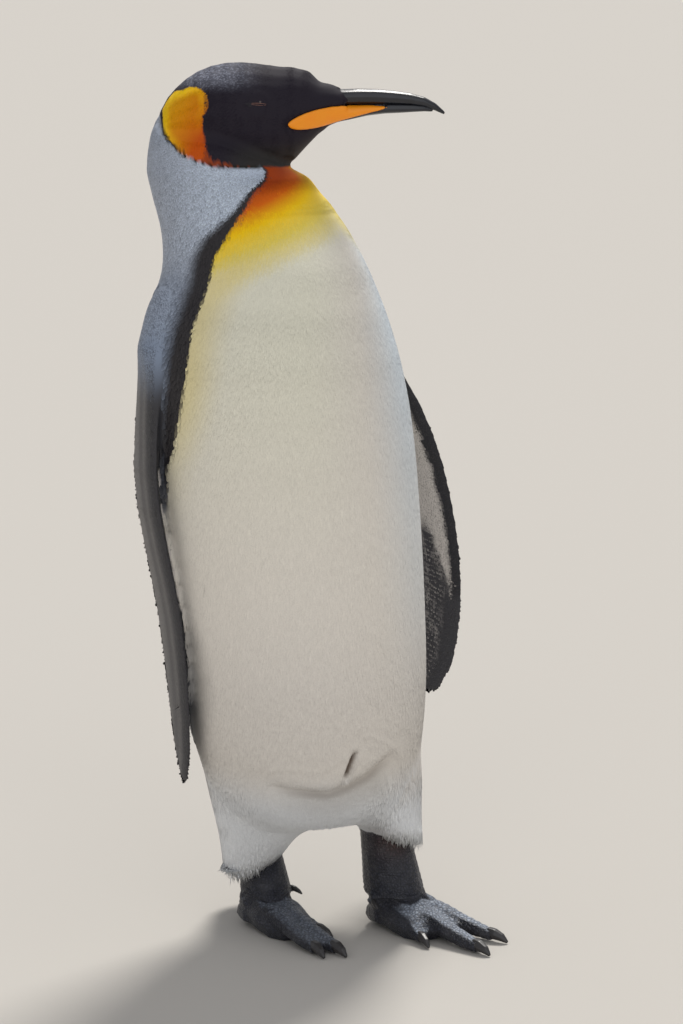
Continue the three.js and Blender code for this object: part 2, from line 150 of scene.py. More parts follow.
def linear(colour):  # a colour as seen, 0 to 255, to the linear one
    seen = np.asarray(colour, float) / 255
    return np.where(seen <= 0.04045, seen / 12.92, ((seen + 0.055) / 1.055) ** 2.4)


def opaque(colour):  # as a socket takes it
    return (*linear(colour), 1)


def blend(under, over, share):
    return under + (over - under) * np.asarray(share).reshape(-1, 1)


def storeColour(mesh, rows):  # the one colour that all plumage, feet and eyes are painted with
    layer = mesh.color_attributes.new("plumage", "FLOAT_COLOR", "POINT")
    full = np.ones((len(rows), 4), np.float32)
    full[:, :3] = rows
    layer.data.foreach_set("color", full.ravel())


# The body's axis from the hips to the crown, and how far each height is turned to the left.
spine = {
    "height": (0.101, 0.213, 0.300, 0.387, 0.472, 0.537, 0.594, 0.627, 0.652, 0.670, 0.686, 0.724),
    "x": (-0.034, -0.040, -0.044, -0.049, -0.053, -0.055, -0.054, -0.057, -0.063, -0.070, -0.075, -0.075),
    "y": (0.002, 0.012, 0.018, 0.024, 0.032, 0.043, 0.055, 0.067, 0.078, 0.088, 0.094, 0.095),
    "turn": (0, 0, 0, 0, 2, 6, 16, 30, 42, 49, 52, 52),
}
skull = {"centre": (-0.0549, 0.0773, 0.7135), "turn": 52}
headAhead = np.array([math.sin(math.radians(skull["turn"])), -math.cos(math.radians(skull["turn"])), 0])
headLeft = np.array([-headAhead[1], headAhead[0], 0])


def aroundBody(places):  # degrees from the breastbone, plus on the right side, and the radius
    height = places[:, 2]
    turn = np.radians(np.interp(height, spine["height"], spine["turn"]))
    across = places[:, 0] - np.interp(height, spine["height"], spine["x"])
    along = places[:, 1] - np.interp(height, spine["height"], spine["y"])
    ahead = across * np.sin(turn) - along * np.cos(turn)
    left = across * np.cos(turn) + along * np.sin(turn)
    return np.degrees(np.arctan2(-left, ahead)), np.hypot(across, along)


def onHead(places):  # forward, to the left, and up from the middle of the skull
    offset = places - np.array(skull["centre"])
    return offset @ headAhead, offset @ headLeft, offset[:, 2]


# Shoulder to tip of each flipper, and how its front edge is turned at both ends.
flippers = {
    "right": {
        "path": (
            (-0.115, 0.066, 0.580),
            (-0.154, 0.075, 0.502),
            (-0.165, 0.070, 0.402),
            (-0.152, 0.054, 0.282),
            (-0.142, 0.048, 0.143),
        ),
        "turn": (-21, -14),
        "outward": -1,
    },
    "left": {
        "path": (
            (0.001, 0.032, 0.564),
            (0.074, 0.048, 0.462),
            (0.109, 0.060, 0.402),
            (0.147, 0.072, 0.282),
            (0.171, 0.094, 0.169),
        ),
        "turn": (24, 40),
        "outward": 1,
    },
}


# Share of the length, metres ahead of the middle line, and the directions ahead, outward and down.
def onFlipper(places, side):
    flipper = flippers[side]
    path = np.array(flipper["path"])
    steps = np.diff(path, axis=0)
    lengths = np.linalg.norm(steps, axis=1)
    starts = np.concatenate(([0], np.cumsum(lengths)))
    best = np.full(len(places), 1e9)
    share = np.zeros(len(places))
    offset = np.zeros((len(places), 3))
    down = np.zeros((len(places), 3))
    for i, step in enumerate(steps):
        t = np.clip((places - path[i]) @ step / lengths[i] ** 2, 0, 1)
        foot = path[i] + t[:, None] * step
        away = np.linalg.norm(places - foot, axis=1)
        near = away < best
        best[near] = away[near]
        share[near] = ((starts[i] + t * lengths[i]) / starts[-1])[near]
        offset[near] = (places - foot)[near]
        down[near] = step / lengths[i]
    turn = np.radians(flipper["turn"][0] + (flipper["turn"][1] - flipper["turn"][0]) * share)
    ahead = np.stack([np.sin(turn), -np.cos(turn), 0 * turn], 1)
    ahead = unit(ahead - down * np.sum(ahead * down, 1)[:, None])
    outward = np.cross(down, ahead)
    outward *= np.sign(outward[:, :1]) * flipper["outward"]
    return share, np.sum(offset * ahead, 1), ahead, outward, down


# The markings, worked out alike for the skin and for every feather.
marks = {
    # by height, degrees from the breastbone where the white front ends, and how soft its edge is
    "front": (
        (0.085, 0.10, 0.15, 0.175, 0.195, 0.215, 0.24, 0.27, 0.295, 0.33, 0.38)
        + (0.42, 0.44, 0.47, 0.50, 0.57, 0.60, 0.623, 0.637, 0.651, 0.668),
        (200, 150, 124, 110, 98, 91, 88, 89, 95, 101, 100, 97, 91, 85.5, 82.5, 81.5, 83, 77, 70, 63, 41),
    ),
    "frontSoft": ((0.12, 0.19, 0.30, 0.40), (0.016, 0.020, 0.019, 0.0012)),
    # the same for the black stripe
    "stripe": (
        (0.38, 0.42, 0.50, 0.55, 0.575, 0.597, 0.612, 0.623, 0.637, 0.651, 0.668),
        (104, 98, 92.5, 91.5, 93, 96, 94, 86, 75, 66.5, 43.5),
    ),
    "stripeSoft": ((0.35, 0.42, 0.50, 0.57, 0.60, 0.66), (0.014, 0.009, 0.010, 0.018, 0.014, 0.0012)),
    # lower edge of the hood and the ear patch, as height against distance forward, on the head
    "collar": (
        (-0.072, -0.066, -0.061, -0.051, -0.044, -0.0336, -0.019, 0.017, 0.037),
        (0.004, -0.0105, -0.0196, -0.029, -0.0335, -0.0385, -0.041, -0.0415, -0.0435),
    ),
    # down a flipper: its middle line to its front edge, its whole width, and the dark front band
    "wingLead": (
        (0, 0.09, 0.34, 0.62, 0.76, 0.87, 0.945, 1),
        (0.024, 0.030, 0.037, 0.038, 0.034, 0.028, 0.020, 0.004),
    ),
    "wingWidth": (
        (0, 0.09, 0.34, 0.62, 0.76, 0.87, 0.945, 1),
        (0.062, 0.070, 0.069, 0.067, 0.059, 0.048, 0.034, 0.008),
    ),
    "wingBand": ((0, 0.35, 0.55, 0.75), (0.014, 0.0125, 0.009, 0.0085)),
    # where the dark tip starts, from the front edge back
    "wingTip": ((0.010, 0.017, 0.024, 0.06), (0.76, 0.68, 0.60, 0.58)),
}
# The ear patch, a stroke of changing width: forward, up, half width.
earPatch = (
    (-0.041, 0.011, 0.0135),
    (-0.050, 0.004, 0.0175),
    (-0.0495, -0.008, 0.017),
    (-0.043, -0.020, 0.013),
    (-0.036, -0.029, 0.0070),
    (-0.025, -0.0380, 0.0019),
    (-0.008, -0.0406, 0.0006),
    (0.016, -0.0414, 0.0001),
)
# Paints that run into one another, down the breast by its own measure, and up the back by height.
runs = {
    "bib": ((-0.05, 0.16, 0.36, 0.62, 0.92, 1.40), ("rust", "rust", "gold", "yellow", "straw", "warm")),
    "back": ((0.10, 0.25, 0.42, 0.52, 0.60, 0.66), ("rump", "back", "back", "shoulder", "nape", "nape")),
}
# Brown blotches by the left hem, in the feathers and on the skin under them.
blotches = {
    "mud": {"place": (0.008, -0.040, 0.098), "reach": (0.014, 0.016, 0.010)},
    "stain": {"place": (0.012, -0.045, 0.084), "reach": (0.016, 0.02, 0.014)},
}
paint = {
    "white": (231, 225, 215),
    "cream": (232, 218, 164),
    "warm": (233, 231, 210),
    # painted shade lit by the sky, on the chest's left side
    "skyShadeTint": (216, 229, 240),
    # painted shade of the lower belly
    "lower": (217, 211, 204),
    "under": (226, 228, 230),
    "straw": (236, 213, 94),
    "yellow": (255, 208, 4),
    "gold": (221, 103, 2),
    "rust": (176, 66, 2),
    "patchRim": (255, 206, 10),
    "patchCore": (201, 84, 2),
    "hood": (34, 29, 40),
    # painted sheen on the crown
    "crown": (146, 150, 166),
    "chin": (50, 48, 47),
    "line": (26, 25, 14),
    "stripe": (46, 43, 46),
    "silver": (202, 214, 232),
    "nape": (172, 181, 197),
    "shoulder": (138, 151, 172),
    "back": (98, 105, 118),
    "rump": (64, 67, 74),
    "quill": (44, 43, 46),
    "flank": (158, 154, 148),
    "wing": (120, 117, 116),
    "wingEdge": (48, 48, 53),
    "wingWhite": (205, 200, 196),
    "wingTip": (66, 66, 71),
    "foot": (46, 48, 57),
    # painted highlight on the tops of the toes
    "toeHighlight": (172, 182, 194),
    "stain": (70, 44, 34),
    # painted shadow for the fold and the parting, and also the colour of the mud
    "slit": (88, 70, 54),
}
paint = {name: linear(colour) for name, colour in paint.items()}


def mark(name, value):
    return np.interp(value, *marks[name])


def run(name, value):
    stops, names = runs[name]
    return np.stack([np.interp(value, stops, [paint[n][i] for n in names]) for i in range(3)], 1)


def plain(name, places):
    return np.tile(paint[name], (len(places), 1))


def tint(colour, name, share):
    return blend(colour, paint[name], share)


def blotch(name, places):  # 1 in its middle
    spot = blotches[name]
    return np.exp(-(((places - spot["place"]) / spot["reach"]) ** 2).sum(1))


def patchDistance(ahead, up):  # below 0 inside the ear patch
    best = np.full(len(ahead), 1.0)
    for (a0, u0, r0), (a1, u1, r1) in zip(earPatch, earPatch[1:]):
        line = np.array([a1 - a0, u1 - u0])
        t = np.clip(((ahead - a0) * line[0] + (up - u0) * line[1]) / (line @ line), 0, 1)
        away = np.hypot(ahead - a0 - t * line[0], up - u0 - t * line[1]) - (r0 + (r1 - r0) * t)
        best = np.minimum(best, away)
    return best


# The colour, and metres behind the white front's edge. Stray is each feather's own offset, in metres.
def bodyColour(places, stray):
    turned, radius = aroundBody(places)
    angle = np.abs(turned)
    height = places[:, 2]
    arc = np.radians(1) * radius
    front = (angle - mark("front", height)) * arc + stray
    rear = (angle - mark("stripe", height)) * arc + stray
    # the chest is yellowish on its right side, its left side gets a bluish painted shade lit by the sky, and
    # the underside is cooler
    chest = ease(0.30, 0.56, height)
    colour = tint(plain("white", places), "warm", 0.8 * chest * ease(-12, 30, turned))
    colour = tint(colour, "skyShadeTint", (0.35 * ease(0.16, 0.32, height) + 0.55 * chest) * ease(2, -36, turned))
    # painted shade: the lower belly is painted darker
    colour = tint(colour, "lower", 0.55 * ease(0.34, 0.22, height))
    colour = tint(colour, "under", 1 - ease(0.12, 0.17, height))
    # the breast: rust by the stripe's upper end, gold, yellow, straw, then white
    side = np.clip(angle / mark("front", height), 0, 1)
    fall = 1.12 * ((0.672 - height) / (0.074 + 0.024 * side**2) + 0.40 * (1 - side) ** 1.5 - 0.05 * side**2)
    fall = fall + stray * 40
    colour = blend(colour, run("bib", fall), 1 - ease(1.15, 1.42, fall))
    edge = ease(-0.045, -0.002, front) * ease(0.36, 0.50, height) * ease(0.8, 1.1, fall)
    colour = tint(colour, "cream", 0.9 * edge)
    # painted brown shadow in the fold and in the parting, and the mud, which is a real stain
    for name, fold in folds.items():
        away, above, end = awayFromLine(places, fold["line"])
        near = hump(above + 0.001, 0.0048) if name == "fold" else hump(away, fold["width"])
        fade = ease(0, 0.3, end) * ease(0, 0.3, 1 - end) * (angle < 75)
        near = near * (away < 0.012) * fade
        if name == "fold":
            # painted shade: below the fold the belly is painted darker with the flank's grey
            below = fade * ease(0.002, -0.006, above) * ease(-0.036, -0.010, above)
            colour = tint(colour, "flank", 0.35 * below)
        colour = tint(colour, "slit", fold["shade"] * near)
    colour = tint(colour, "slit", 0.8 * blotch("mud", places))
    # the back, from silver at the nape to slate at the rump
    dark = run("back", height)
    dark = tint(dark, "silver", ease(0.575, 0.64, height) * (1 - ease(85, 150, angle)))
    dark = tint(dark, "flank", (1 - ease(0.33, 0.42, height)) * (1 - ease(0.004, 0.036, front)))
    stripe = 1 - ease(-0.3, 1, rear / mark("stripeSoft", height))
    dark = tint(dark, "stripe", stripe * ease(0.36, 0.43, height))
    return blend(colour, dark, ease(-1, 1, front / mark("frontSoft", height))), front


def headColour(places, stray):
    ahead, left, up = onHead(places)
    nape = (0.010 - np.abs(left)) * ease(-0.03, -0.05, ahead)  # the two patches stay apart behind
    inside = np.maximum(patchDistance(ahead, up), nape) + stray
    x, y, z = places.T
    fleck = np.sin(x * 5200 + 3 * np.sin(z * 2900)) * np.sin(y * 4700 + 2 * np.sin(z * 3900))
    # painted sheen: the top of the crown is flecked lighter, as highlights on its glossy feathers
    silver = ease(0.018, 0.034, up) * ease(0.022, -0.020, ahead) * ease(-0.062, -0.045, ahead)
    hood = tint(plain("hood", places), "crown", silver * (0.35 + 0.65 * ease(0.1, 0.7, fleck)))
    hood = tint(hood, "chin", ease(-0.018, -0.036, up) * ease(-0.02, 0.01, ahead))
    # lighter yellow toward the top and back, deeper orange toward the bottom: partly the patch's own colours,
    # partly painted shade on its lower part, which faces down
    warm = np.clip(0.5 + (-(ahead + 0.047) / 0.040) + (up + 0.004) / 0.070, 0, 1)
    rim = ease(-0.009, -0.001, inside)
    patch = tint(plain("patchCore", places), "patchRim", np.clip(warm * 0.55 + 0.6 * rim * warm, 0, 1))
    return blend(hood, patch, 1 - ease(-0.0004, 0.0004, inside)), inside


def aboveCollar(places):
    ahead, left, up = onHead(places)
    return np.where(places[:, 2] > 0.64, up - mark("collar", ahead), -0.1)


def plumage(places, stray):  # the coat on the body, neck and head
    body, front = bodyColour(places, stray)
    head, inside = headColour(places, stray * 0.35)
    ahead = onHead(places)[0]
    line = ease(0.0026, 0.0010, inside) * ease(0.6, 0.66, places[:, 2])
    body = tint(body, "line", line * (1 - ease(0.012, 0.03, ahead)))
    soft = np.where(ahead < -0.064, 0.006, 0.0006)
    return blend(body, head, ease(-1, 1, (aboveCollar(places) + stray * 0.25) / soft)), front


def wingColour(places, normals, side, stray):
    share, forward, ahead, outward, down = onFlipper(places, side)
    outer = np.sum(normals * outward, 1)
    fromLead = mark("wingLead", share) - forward + stray
    fromTrail = mark("wingWidth", share) - fromLead + 2 * stray
    outside = tint(plain("wing", places), "wingEdge", 0.85 * (1 - ease(0.008, 0.020, fromLead)))
    outside = tint(outside, "wingEdge", 0.55 * hump(fromLead - 0.028, 0.010))
    trail = 0.8 * (1 - ease(0.0012, 0.0024, fromTrail)) * ease(0.25, 0.4, share)
    outside = tint(outside, "wingWhite", trail)
    band = 1 - ease(-0.001, 0.001, fromLead - mark("wingBand", share) + 1.5 * stray)
    inside = tint(plain("wingWhite", places), "wingEdge", band)
    # the dark tip starts higher at the back edge than along the front band
    tip = ease(-0.02, 0.02, share + 16 * stray - mark("wingTip", fromLead))
    rows = np.sin(2 * np.pi * (share * 0.40 + 0.5 * fromLead) / 0.0046) * ease(0.012, 0.020, fromLead)
    lined = tint(plain("wingTip", places), "wingWhite", 0.42 * ease(0.0, 1.0, rows))
    inside = blend(inside, lined, tip)
    colour = blend(inside, outside, ease(-0.25, 0.1, outer))
    # the shoulder's own plumage covers the root
    root = ease(0.470, 0.520, places[:, 2] + 8 * stray) * ease(-0.3, 0.2, outer)
    return blend(colour, bodyColour(places, stray)[0], root)


# The skin: over each part the coat's depth in metres, how much the part grows first, and how far
# it is smoothed.
skinParts = {
    "trunk": {"depth": 0.0014, "grow": 0.0006, "smooth": 1.0},
    "neck": {"depth": 0.0014, "grow": 0.0006, "smooth": 0.9},
    "head": {"depth": 0.0009, "grow": 0.0006, "smooth": 0.32},
    "tail": {"depth": 0.0014, "grow": 0.0006, "smooth": 0.5},
}
pairParts = {
    "leg": {"depth": 0.0014, "grow": 0.0006, "smooth": 0.6},
    "flipper": {"depth": 0.0006, "grow": 0.0011, "smooth": 0.4},
    "tarsus": {"depth": 0.0, "grow": 0.0006, "smooth": 0.3},
    "foot": {"depth": 0.0, "grow": 0.0006, "smooth": 0.25},
}
for name, row in pairParts.items():
    for side in sides:
        skinParts[name + "_" + side] = row
partNames = list(skinParts)
skinSettings = {
    "grain": 0.0016,
    "overlap": 0.0006,
    "triangles": 192000,
    "hemTop": 0.108,  # the legs keep their own forms below this height
    "wingTop": 0.525,  # and the flippers below this one
    "wingRoot": 0.495,  # the filled body takes in the flippers from here up
    "hornEnd": 0.099,  # the coat grows over the bill this far from the middle of the skull
}


def inParts(part, *names):
    return np.isin(part, [partNames.index(name) for name in names])


def perPart(key, part):
    return np.array([row[key] for row in skinParts.values()])[part]


def partLookup():
    spots, faces, owner = [], [], []
    for index, name in enumerate(partNames):
        mesh = nodes[name].data
        base = sum(len(s) for s in spots)
        spots.append(placesOf(mesh))
        found = trianglesOf(mesh)
        faces += (found + base).tolist()
        owner += [index] * len(found)
    tree = BVHTree.FromPolygons(np.concatenate(spots).tolist(), faces)
    return tree, np.array(owner)


def smoothAlong(edges, values, rounds):  # spreads values over the mesh's edges
    count = np.maximum(np.bincount(edges.ravel(), minlength=len(values)), 1)
    for _ in range(rounds):
        total = np.bincount(edges[:, 0], values[edges[:, 1]], len(values))
        total += np.bincount(edges[:, 1], values[edges[:, 0]], len(values))
        values = 0.5 * values + 0.5 * total / count
    return values


def evened(item, rounds, share=1.0):  # smooths away small steps, and gives back what that shrinks
    edges = edgesOf(item.data)
    places = placesOf(item.data)
    for axis in range(3):
        smooth = smoothAlong(edges, places[:, axis], rounds)
        smooth += smoothAlong(edges, places[:, axis] - smooth, rounds)
        places[:, axis] += (smooth - places[:, axis]) * share
    setPlaces(item, places)
    return item


def cutOff(item, place, away):  # removes what lies beyond a plane, and closes the end
    with editing(item):
        bpy.ops.mesh.bisect(plane_co=place, plane_no=away, clear_outer=True, use_fill=True)
    return item


def rounded(copies, fill, grain, name):  # the parts in one, with the creases between them filled
    item = joined(copies, name)
    for strength in (skinSettings["overlap"], fill):
        modify(item, "DISPLACE", strength=strength, mid_level=0)
        modify(item, "REMESH", mode="VOXEL", voxel_size=grain, adaptivity=0)
        modify(item, "SMOOTH", factor=0.5, iterations=3)
    modify(item, "DISPLACE", strength=-fill, mid_level=0)
    modify(item, "REMESH", mode="VOXEL", voxel_size=grain, adaptivity=0)
    return item


# The fold under the belly and the small parting above it: the line, as degrees from the breastbone
# and height, how deep it is, how wide above and below, the swelling over it, and its painted brown shadow.
folds = {
    "fold": {
        "line": ((63, 0.157), (48, 0.151), (27, 0.147), (16, 0.152), (4, 0.159), (-6, 0.170), (-15, 0.184)),
        "depth": 0.0030,
        "width": 0.0050,
        "below": 0.019,
        "above": 0.0004,
        "shade": 0.42,
    },
    "parting": {
        "line": ((11.7, 0.189), (14, 0.178), (16, 0.169), (18.5, 0.158)),
        "depth": 0.0045,
        "width": 0.0021,
        "below": 0.0021,
        "above": 0,
        "shade": 0.95,
    },
}


def awayFromLine(places, line):  # metres to a line drawn on the body, and whether above it
    angle, radius = aroundBody(places)
    across = np.radians(angle) * 0.09
    line = np.array(line) * (math.radians(1) * 0.09, 1)
    best = np.full(len(places), 1.0)
    above = np.zeros(len(places))
    end = np.zeros(len(places))
    for i, (start, finish) in enumerate(zip(line, line[1:])):
        run = finish - start
        t = ((across - start[0]) * run[0] + (places[:, 2] - start[1]) * run[1]) / (run @ run)
        inner = np.clip(t, 0, 1)
        away = np.hypot(across - start[0] - inner * run[0], places[:, 2] - start[1] - inner * run[1])
        near = away < best
        best[near] = away[near]
        above[near] = (places[:, 2] - start[1] - inner * run[1])[near]
        end[near] = ((i + inner) / (len(line) - 1))[near]
    return best, above, end


def foldShift(places):  # how far the skin moves in, in metres
    total = np.zeros(len(places))
    for fold in folds.values():
        away, above, end = awayFromLine(places, fold["line"])
        fade = ease(0, 0.22, end) * ease(0, 0.22, 1 - end)
        # the belly hangs over: a steep edge above the line, and a long slope below it
        total += fade * fold["depth"] * hump(away, np.where(above < 0, fold["below"], fold["width"]))
        total -= fade * fold["above"] * hump(above - 0.011, 0.009) * (away < 0.04)
    return total


# The ankles as x and y, and the creases round each: height, which way it wanders, width, strength.
ankles = {"right": (-0.0599, 0.0418), "left": (0.0296, -0.0312)}
ankleRings = ((0.032, 1, 0.0016, 1.0), (0.038, 1, 0.0014, 0.6), (0.027, -1, 0.0013, 0.5))
wrinkles = {"ring": 0.0018, "toe": 0.00045, "tarsus": 0.0003, "toeStep": 0.0062, "tarsusStep": 0.0058}


def wrinkleShift(places, part):  # creases round the ankles and across the toes
    shift = np.zeros(len(places))
    x, y, height = places.T
    wander = 0.0016 * np.sin(x * 230 + 2 * y * 140) + 0.0010 * np.sin(y * 410)
    for side in sides:
        reach = np.hypot(x - ankles[side][0], y - ankles[side][1])
        rings = sum(share * hump(height + way * wander - at, width) for at, way, width, share in ankleRings)
        bands = 0.5 + 0.5 * np.sin((reach + 0.6 * wander) * 2 * np.pi / wrinkles["toeStep"])
        onToe = ease(0.034, 0.05, reach) * (height < 0.03)
        lines = 0.5 + 0.5 * np.sin((height + 0.8 * wander) * 2 * np.pi / wrinkles["tarsusStep"])
        total = wrinkles["ring"] * rings * (1 - onToe) + wrinkles["toe"] * bands * onToe
        total += wrinkles["tarsus"] * lines * (height > 0.042)
        shift += inParts(part, "foot_" + side, "tarsus_" + side) * total
    return shift


# Each eye sits a little deeper than its solid does, under a slit between the lids.
eyes = {"radius": 0.0083, "sink": 0.0023, "cover": 0.0013, "slit": 0.0064, "open": 0.00062, "slope": 3.5}


def eyeFrame(side):  # middle of the sunk eye, outward, along the slit to the bill, and up across it
    low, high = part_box("eye_" + side)
    outward = headLeft * (1 if side == "left" else -1)
    slope = math.radians(eyes["slope"])
    upright = np.array([0, 0, 1])
    along = headAhead * math.cos(slope) - upright * math.sin(slope)
    upward = headAhead * math.sin(slope) + upright * math.cos(slope)
    return np.array((low + high) / 2) - outward * eyes["sink"], outward, along, upward


def awayFromEye(places):  # metres from the nearer eye's middle, looking straight at it
    best = np.full(len(places), 1.0)
    for side in sides:
        centre, outward, along, upward = eyeFrame(side)
        offset = places - centre
        away = np.hypot(offset @ along, offset @ upward)
        best = np.where(offset @ outward > 0, np.minimum(best, away), best)
    return best


# The forms of the head that the skin adds, in metres from the middle of the skull.
headForms = {
    "horn": {"start": 0.05, "low": -0.037, "dive": 0.0055},  # the bill's base, and how far the skin dives
    "hornEnds": ((-0.006, 0.0085, 0.0125, 0.017, 0.0215), (0.096, 0.091, 0.0985, 0.0945, 0.0875)),
    "throat": {"height": 0.659, "width": 0.0085, "swell": 0.0034},
    "brow": {"ahead": 0.0570, "up": 0.036, "reach": (0.0080, 0.012, 0.013), "swell": 0.0024},
}


def depthOf(places, normals, part, edges):  # how deep the skin lies below the solids, before the folds
    depth = smoothAlong(edges, perPart("depth", part), 12)
    # the edges of the flippers are too thin to lose as much as their faces
    for side in sides:
        on = inParts(part, "flipper_" + side)
        share, forward, ahead, outward, down = onFlipper(places[on], side)
        flat = ease(0.3, 0.9, np.abs(np.sum(normals[on] * outward, 1)))
        ends = (skinParts["trunk"]["depth"], skinParts["flipper_" + side]["depth"])
        deep = np.interp(share, (0, 0.16), ends)
        depth[on] = deep * flat - 0.0006 * (1 - flat) * ease(0.10, 0.2, share)
    # at the bill the coat runs out over the horn, then the skin dives under it
    ahead, left, up = onHead(places)
    horn = headForms["horn"]
    plate = ease(0.012, 0.0085, up) * ease(-0.0155, -0.011, up)
    ends = np.interp(up, *headForms["hornEnds"])
    proud = ease(0.066, 0.076, ahead) * (1 - plate)
    over = depth * (1 - proud) - (0.0006 - 0.0005 * ease(0.080, 0.094, ahead)) * proud
    over += horn["dive"] * ease(ends - 0.0035, ends + 0.002, ahead)
    depth = np.where((up > horn["low"]) & (ahead > horn["start"]), over, depth)
    depth = depth - 0.0006 * ease(0.030, 0.050, ahead) * ease(0.020, 0.026, up) * (ahead < 0.080)
    # the neck swells up to the chin
    throat = headForms["throat"]
    swell = hump(places[:, 2] - throat["height"], throat["width"])
    swell = swell * (1 - ease(55, 85, np.abs(aroundBody(places)[0])))
    depth = depth - throat["swell"] * swell * inParts(part, "neck")
    brow = headForms["brow"]
    offsets = ((ahead - brow["ahead"]), (up - brow["up"]), left)
    bulge = np.exp(-sum((offset / reach) ** 2 for offset, reach in zip(offsets, brow["reach"])))
    cover = (1 - ease(0.008, 0.014, awayFromEye(places))) * (places[:, 2] > 0.66)
    return depth - brow["swell"] * bulge - eyes["cover"] * cover


def eyeCover():  # a block of the head with the eyes' sockets filled
    balls = []
    for side in sides:
        ball = copyOf("eye_" + side)
        ball.data.transform(Matrix.Translation(Vector(-eyeFrame(side)[1] * eyes["sink"])))
        balls.append(ball)
    block = rounded([copyOf("head")] + balls, 0.006, skinSettings["grain"], "eyeCover")
    middle = Vector(skull["centre"])
    ahead, up = Vector(headAhead), Vector((0, 0, 1))
    for away, reach in ((ahead, 0.030), (-ahead, -0.001), (up, 0.023), (-up, 0.004)):
        cutOff(block, middle + away * reach, away)
    return block


def openLids(item, side):  # cuts the slit between the lids through to the eye
    centre, outward, along, upward = eyeFrame(side)
    bpy.ops.mesh.primitive_uv_sphere_add(segments=32, ring_count=16, radius=1, location=(0, 0, 0))
    cutter = bpy.context.active_object
    turn = Matrix.Identity(4)
    for column, (axis, size) in enumerate(((along, eyes["slit"]), (upward, eyes["open"]), (outward, 0.0032))):
        for row in range(3):
            turn[row][column] = axis[row] * size
    turn.translation = Vector(centre + outward * (eyes["radius"] + eyes["cover"]))
    cutter.data.transform(turn)
    with editing(cutter):
        bpy.ops.mesh.normals_make_consistent(inside=False)
    modify(item, "BOOLEAN", operation="DIFFERENCE", object=cutter, solver="FAST")
    bpy.data.objects.remove(cutter)


def skinCopies():  # all that the skin is made from, before it is one
    copies = []
    for name in partNames:
        if name in ("trunk", "neck"):
            continue
        item = copyOf(name)
        if name.startswith("leg_"):
            cutOff(item, (0, 0, skinSettings["hemTop"]), (0, 0, 1))
        if name.startswith("flipper_"):
            cutOff(item, (0, 0, skinSettings["wingTop"]), (0, 0, 1))
        modify(item, "DISPLACE", strength=skinParts[name]["grow"], mid_level=0)
        copies.append(item)
    copies.append(eyeCover())
    for name in ("bill_upper", "bill_lower"):  # only the ends that the coat grows over
        spot = Vector(skull["centre"]) + Vector(headAhead) * skinSettings["hornEnd"]
        item = cutOff(copyOf(name), spot, headAhead)
        modify(item, "DISPLACE", strength=skinSettings["overlap"], mid_level=0)
        copies.append(item)
    body = [copyOf(name) for name in ("trunk", "neck", "leg_right", "leg_left", "tail")]
    for side in sides:
        body.append(cutOff(copyOf("flipper_" + side), (0, 0, skinSettings["wingRoot"]), (0, 0, -1)))
    body = rounded(body, 0.014, 0.0030, "bodyFilled")
    copies.append(evened(body, 90, 1 - ease(0.600, 0.635, placesOf(body.data)[:, 2])))
    for side in sides:
        foot = [copyOf("tarsus_" + side), copyOf("foot_" + side)]
        copies.append(rounded(foot, 0.0035, skinSettings["grain"], "footFilled"))
    return copies


def makeSkin():
    skin = joined(skinCopies(), "skin")
    modify(skin, "REMESH", mode="VOXEL", voxel_size=skinSettings["grain"], adaptivity=0)
    tree, owner = partLookup()
    mesh = skin.data
    places = placesOf(mesh)
    height = places[:, 2]
    part = np.array([owner[tree.find_nearest(Vector(p))[2]] for p in places])
    edges = edgesOf(mesh)
    setWeights(skin, "smooth", smoothAlong(edges, perPart("smooth", part), 8))
    modify(skin, "SMOOTH", factor=0.5, iterations=16, vertex_group="smooth")
    # the broad faces of the solids go, where there are no small forms to lose
    broad = inParts(part, "trunk", "neck", "leg_right", "leg_left") * (1 - ease(0.652, 0.668, height))
    onWing = inParts(part, "flipper_right", "flipper_left")
    broad = np.where(onWing, ease(0.50, 0.53, height), broad)
    setWeights(skin, "broad", smoothAlong(edges, broad, 14))
    modify(skin, "SMOOTH", factor=0.5, iterations=90, vertex_group="broad")
    places = placesOf(mesh)
    depth = depthOf(places, normalsOf(mesh), part, edges) + perPart("grow", part)
    depth = smoothAlong(edges, depth, 3)
    depth = depth + foldShift(places) + wrinkleShift(places, part)
    for name, way in (("inward", -1), ("outward", 1)):
        amount = np.maximum(-way * depth, 0)
        setWeights(skin, name, amount / amount.max())
        modify(skin, "DISPLACE", strength=way * amount.max(), mid_level=0, vertex_group=name)
    # small steps go from the face, the throat and the flippers
    places = placesOf(mesh)
    face = inParts(part, "head") * (1 - ease(0.070, 0.085, onHead(places)[0]))
    face = face + inParts(part, "neck") * ease(0.640, 0.655, places[:, 2])
    evened(skin, 12, smoothAlong(edges, face + onWing * (1 - ease(0.50, 0.53, places[:, 2])), 4))
    fine = inParts(part, "foot_left", "foot_right", "tarsus_left", "tarsus_right", "head")
    setWeights(skin, "plain", smoothAlong(edges, np.where(fine, 0.0, 1.0), 3))
    ratio = skinSettings["triangles"] / triangleCount(skin)
    if ratio < 1:
        modify(skin, "DECIMATE", ratio=ratio, vertex_group="plain", vertex_group_factor=4)
    for side in sides:
        openLids(skin, side)
    part = np.array([owner[tree.find_nearest(Vector(p))[2]] for p in placesOf(skin.data)])
    skin.vertex_groups.clear()
    return smoothShaded(skin, "skin"), part


def triangleCount(item):
    return sum(len(p.vertices) - 2 for p in item.data.polygons)


skin, skinPart = makeSkin()
print("skin", len(skin.data.vertices), "points", triangleCount(skin), "triangles")


# Where the feathers of each leg end: the hem's middle, how it slants, and the band of its fringe.
hems = {
    "right": {"place": (-0.0699, 0.0433, 0.068), "slant": 0.42},
    "left": {"place": (0.0241, -0.0307, 0.088), "slant": -0.2},
    "high": 0.012,
    "low": -0.0015,
}


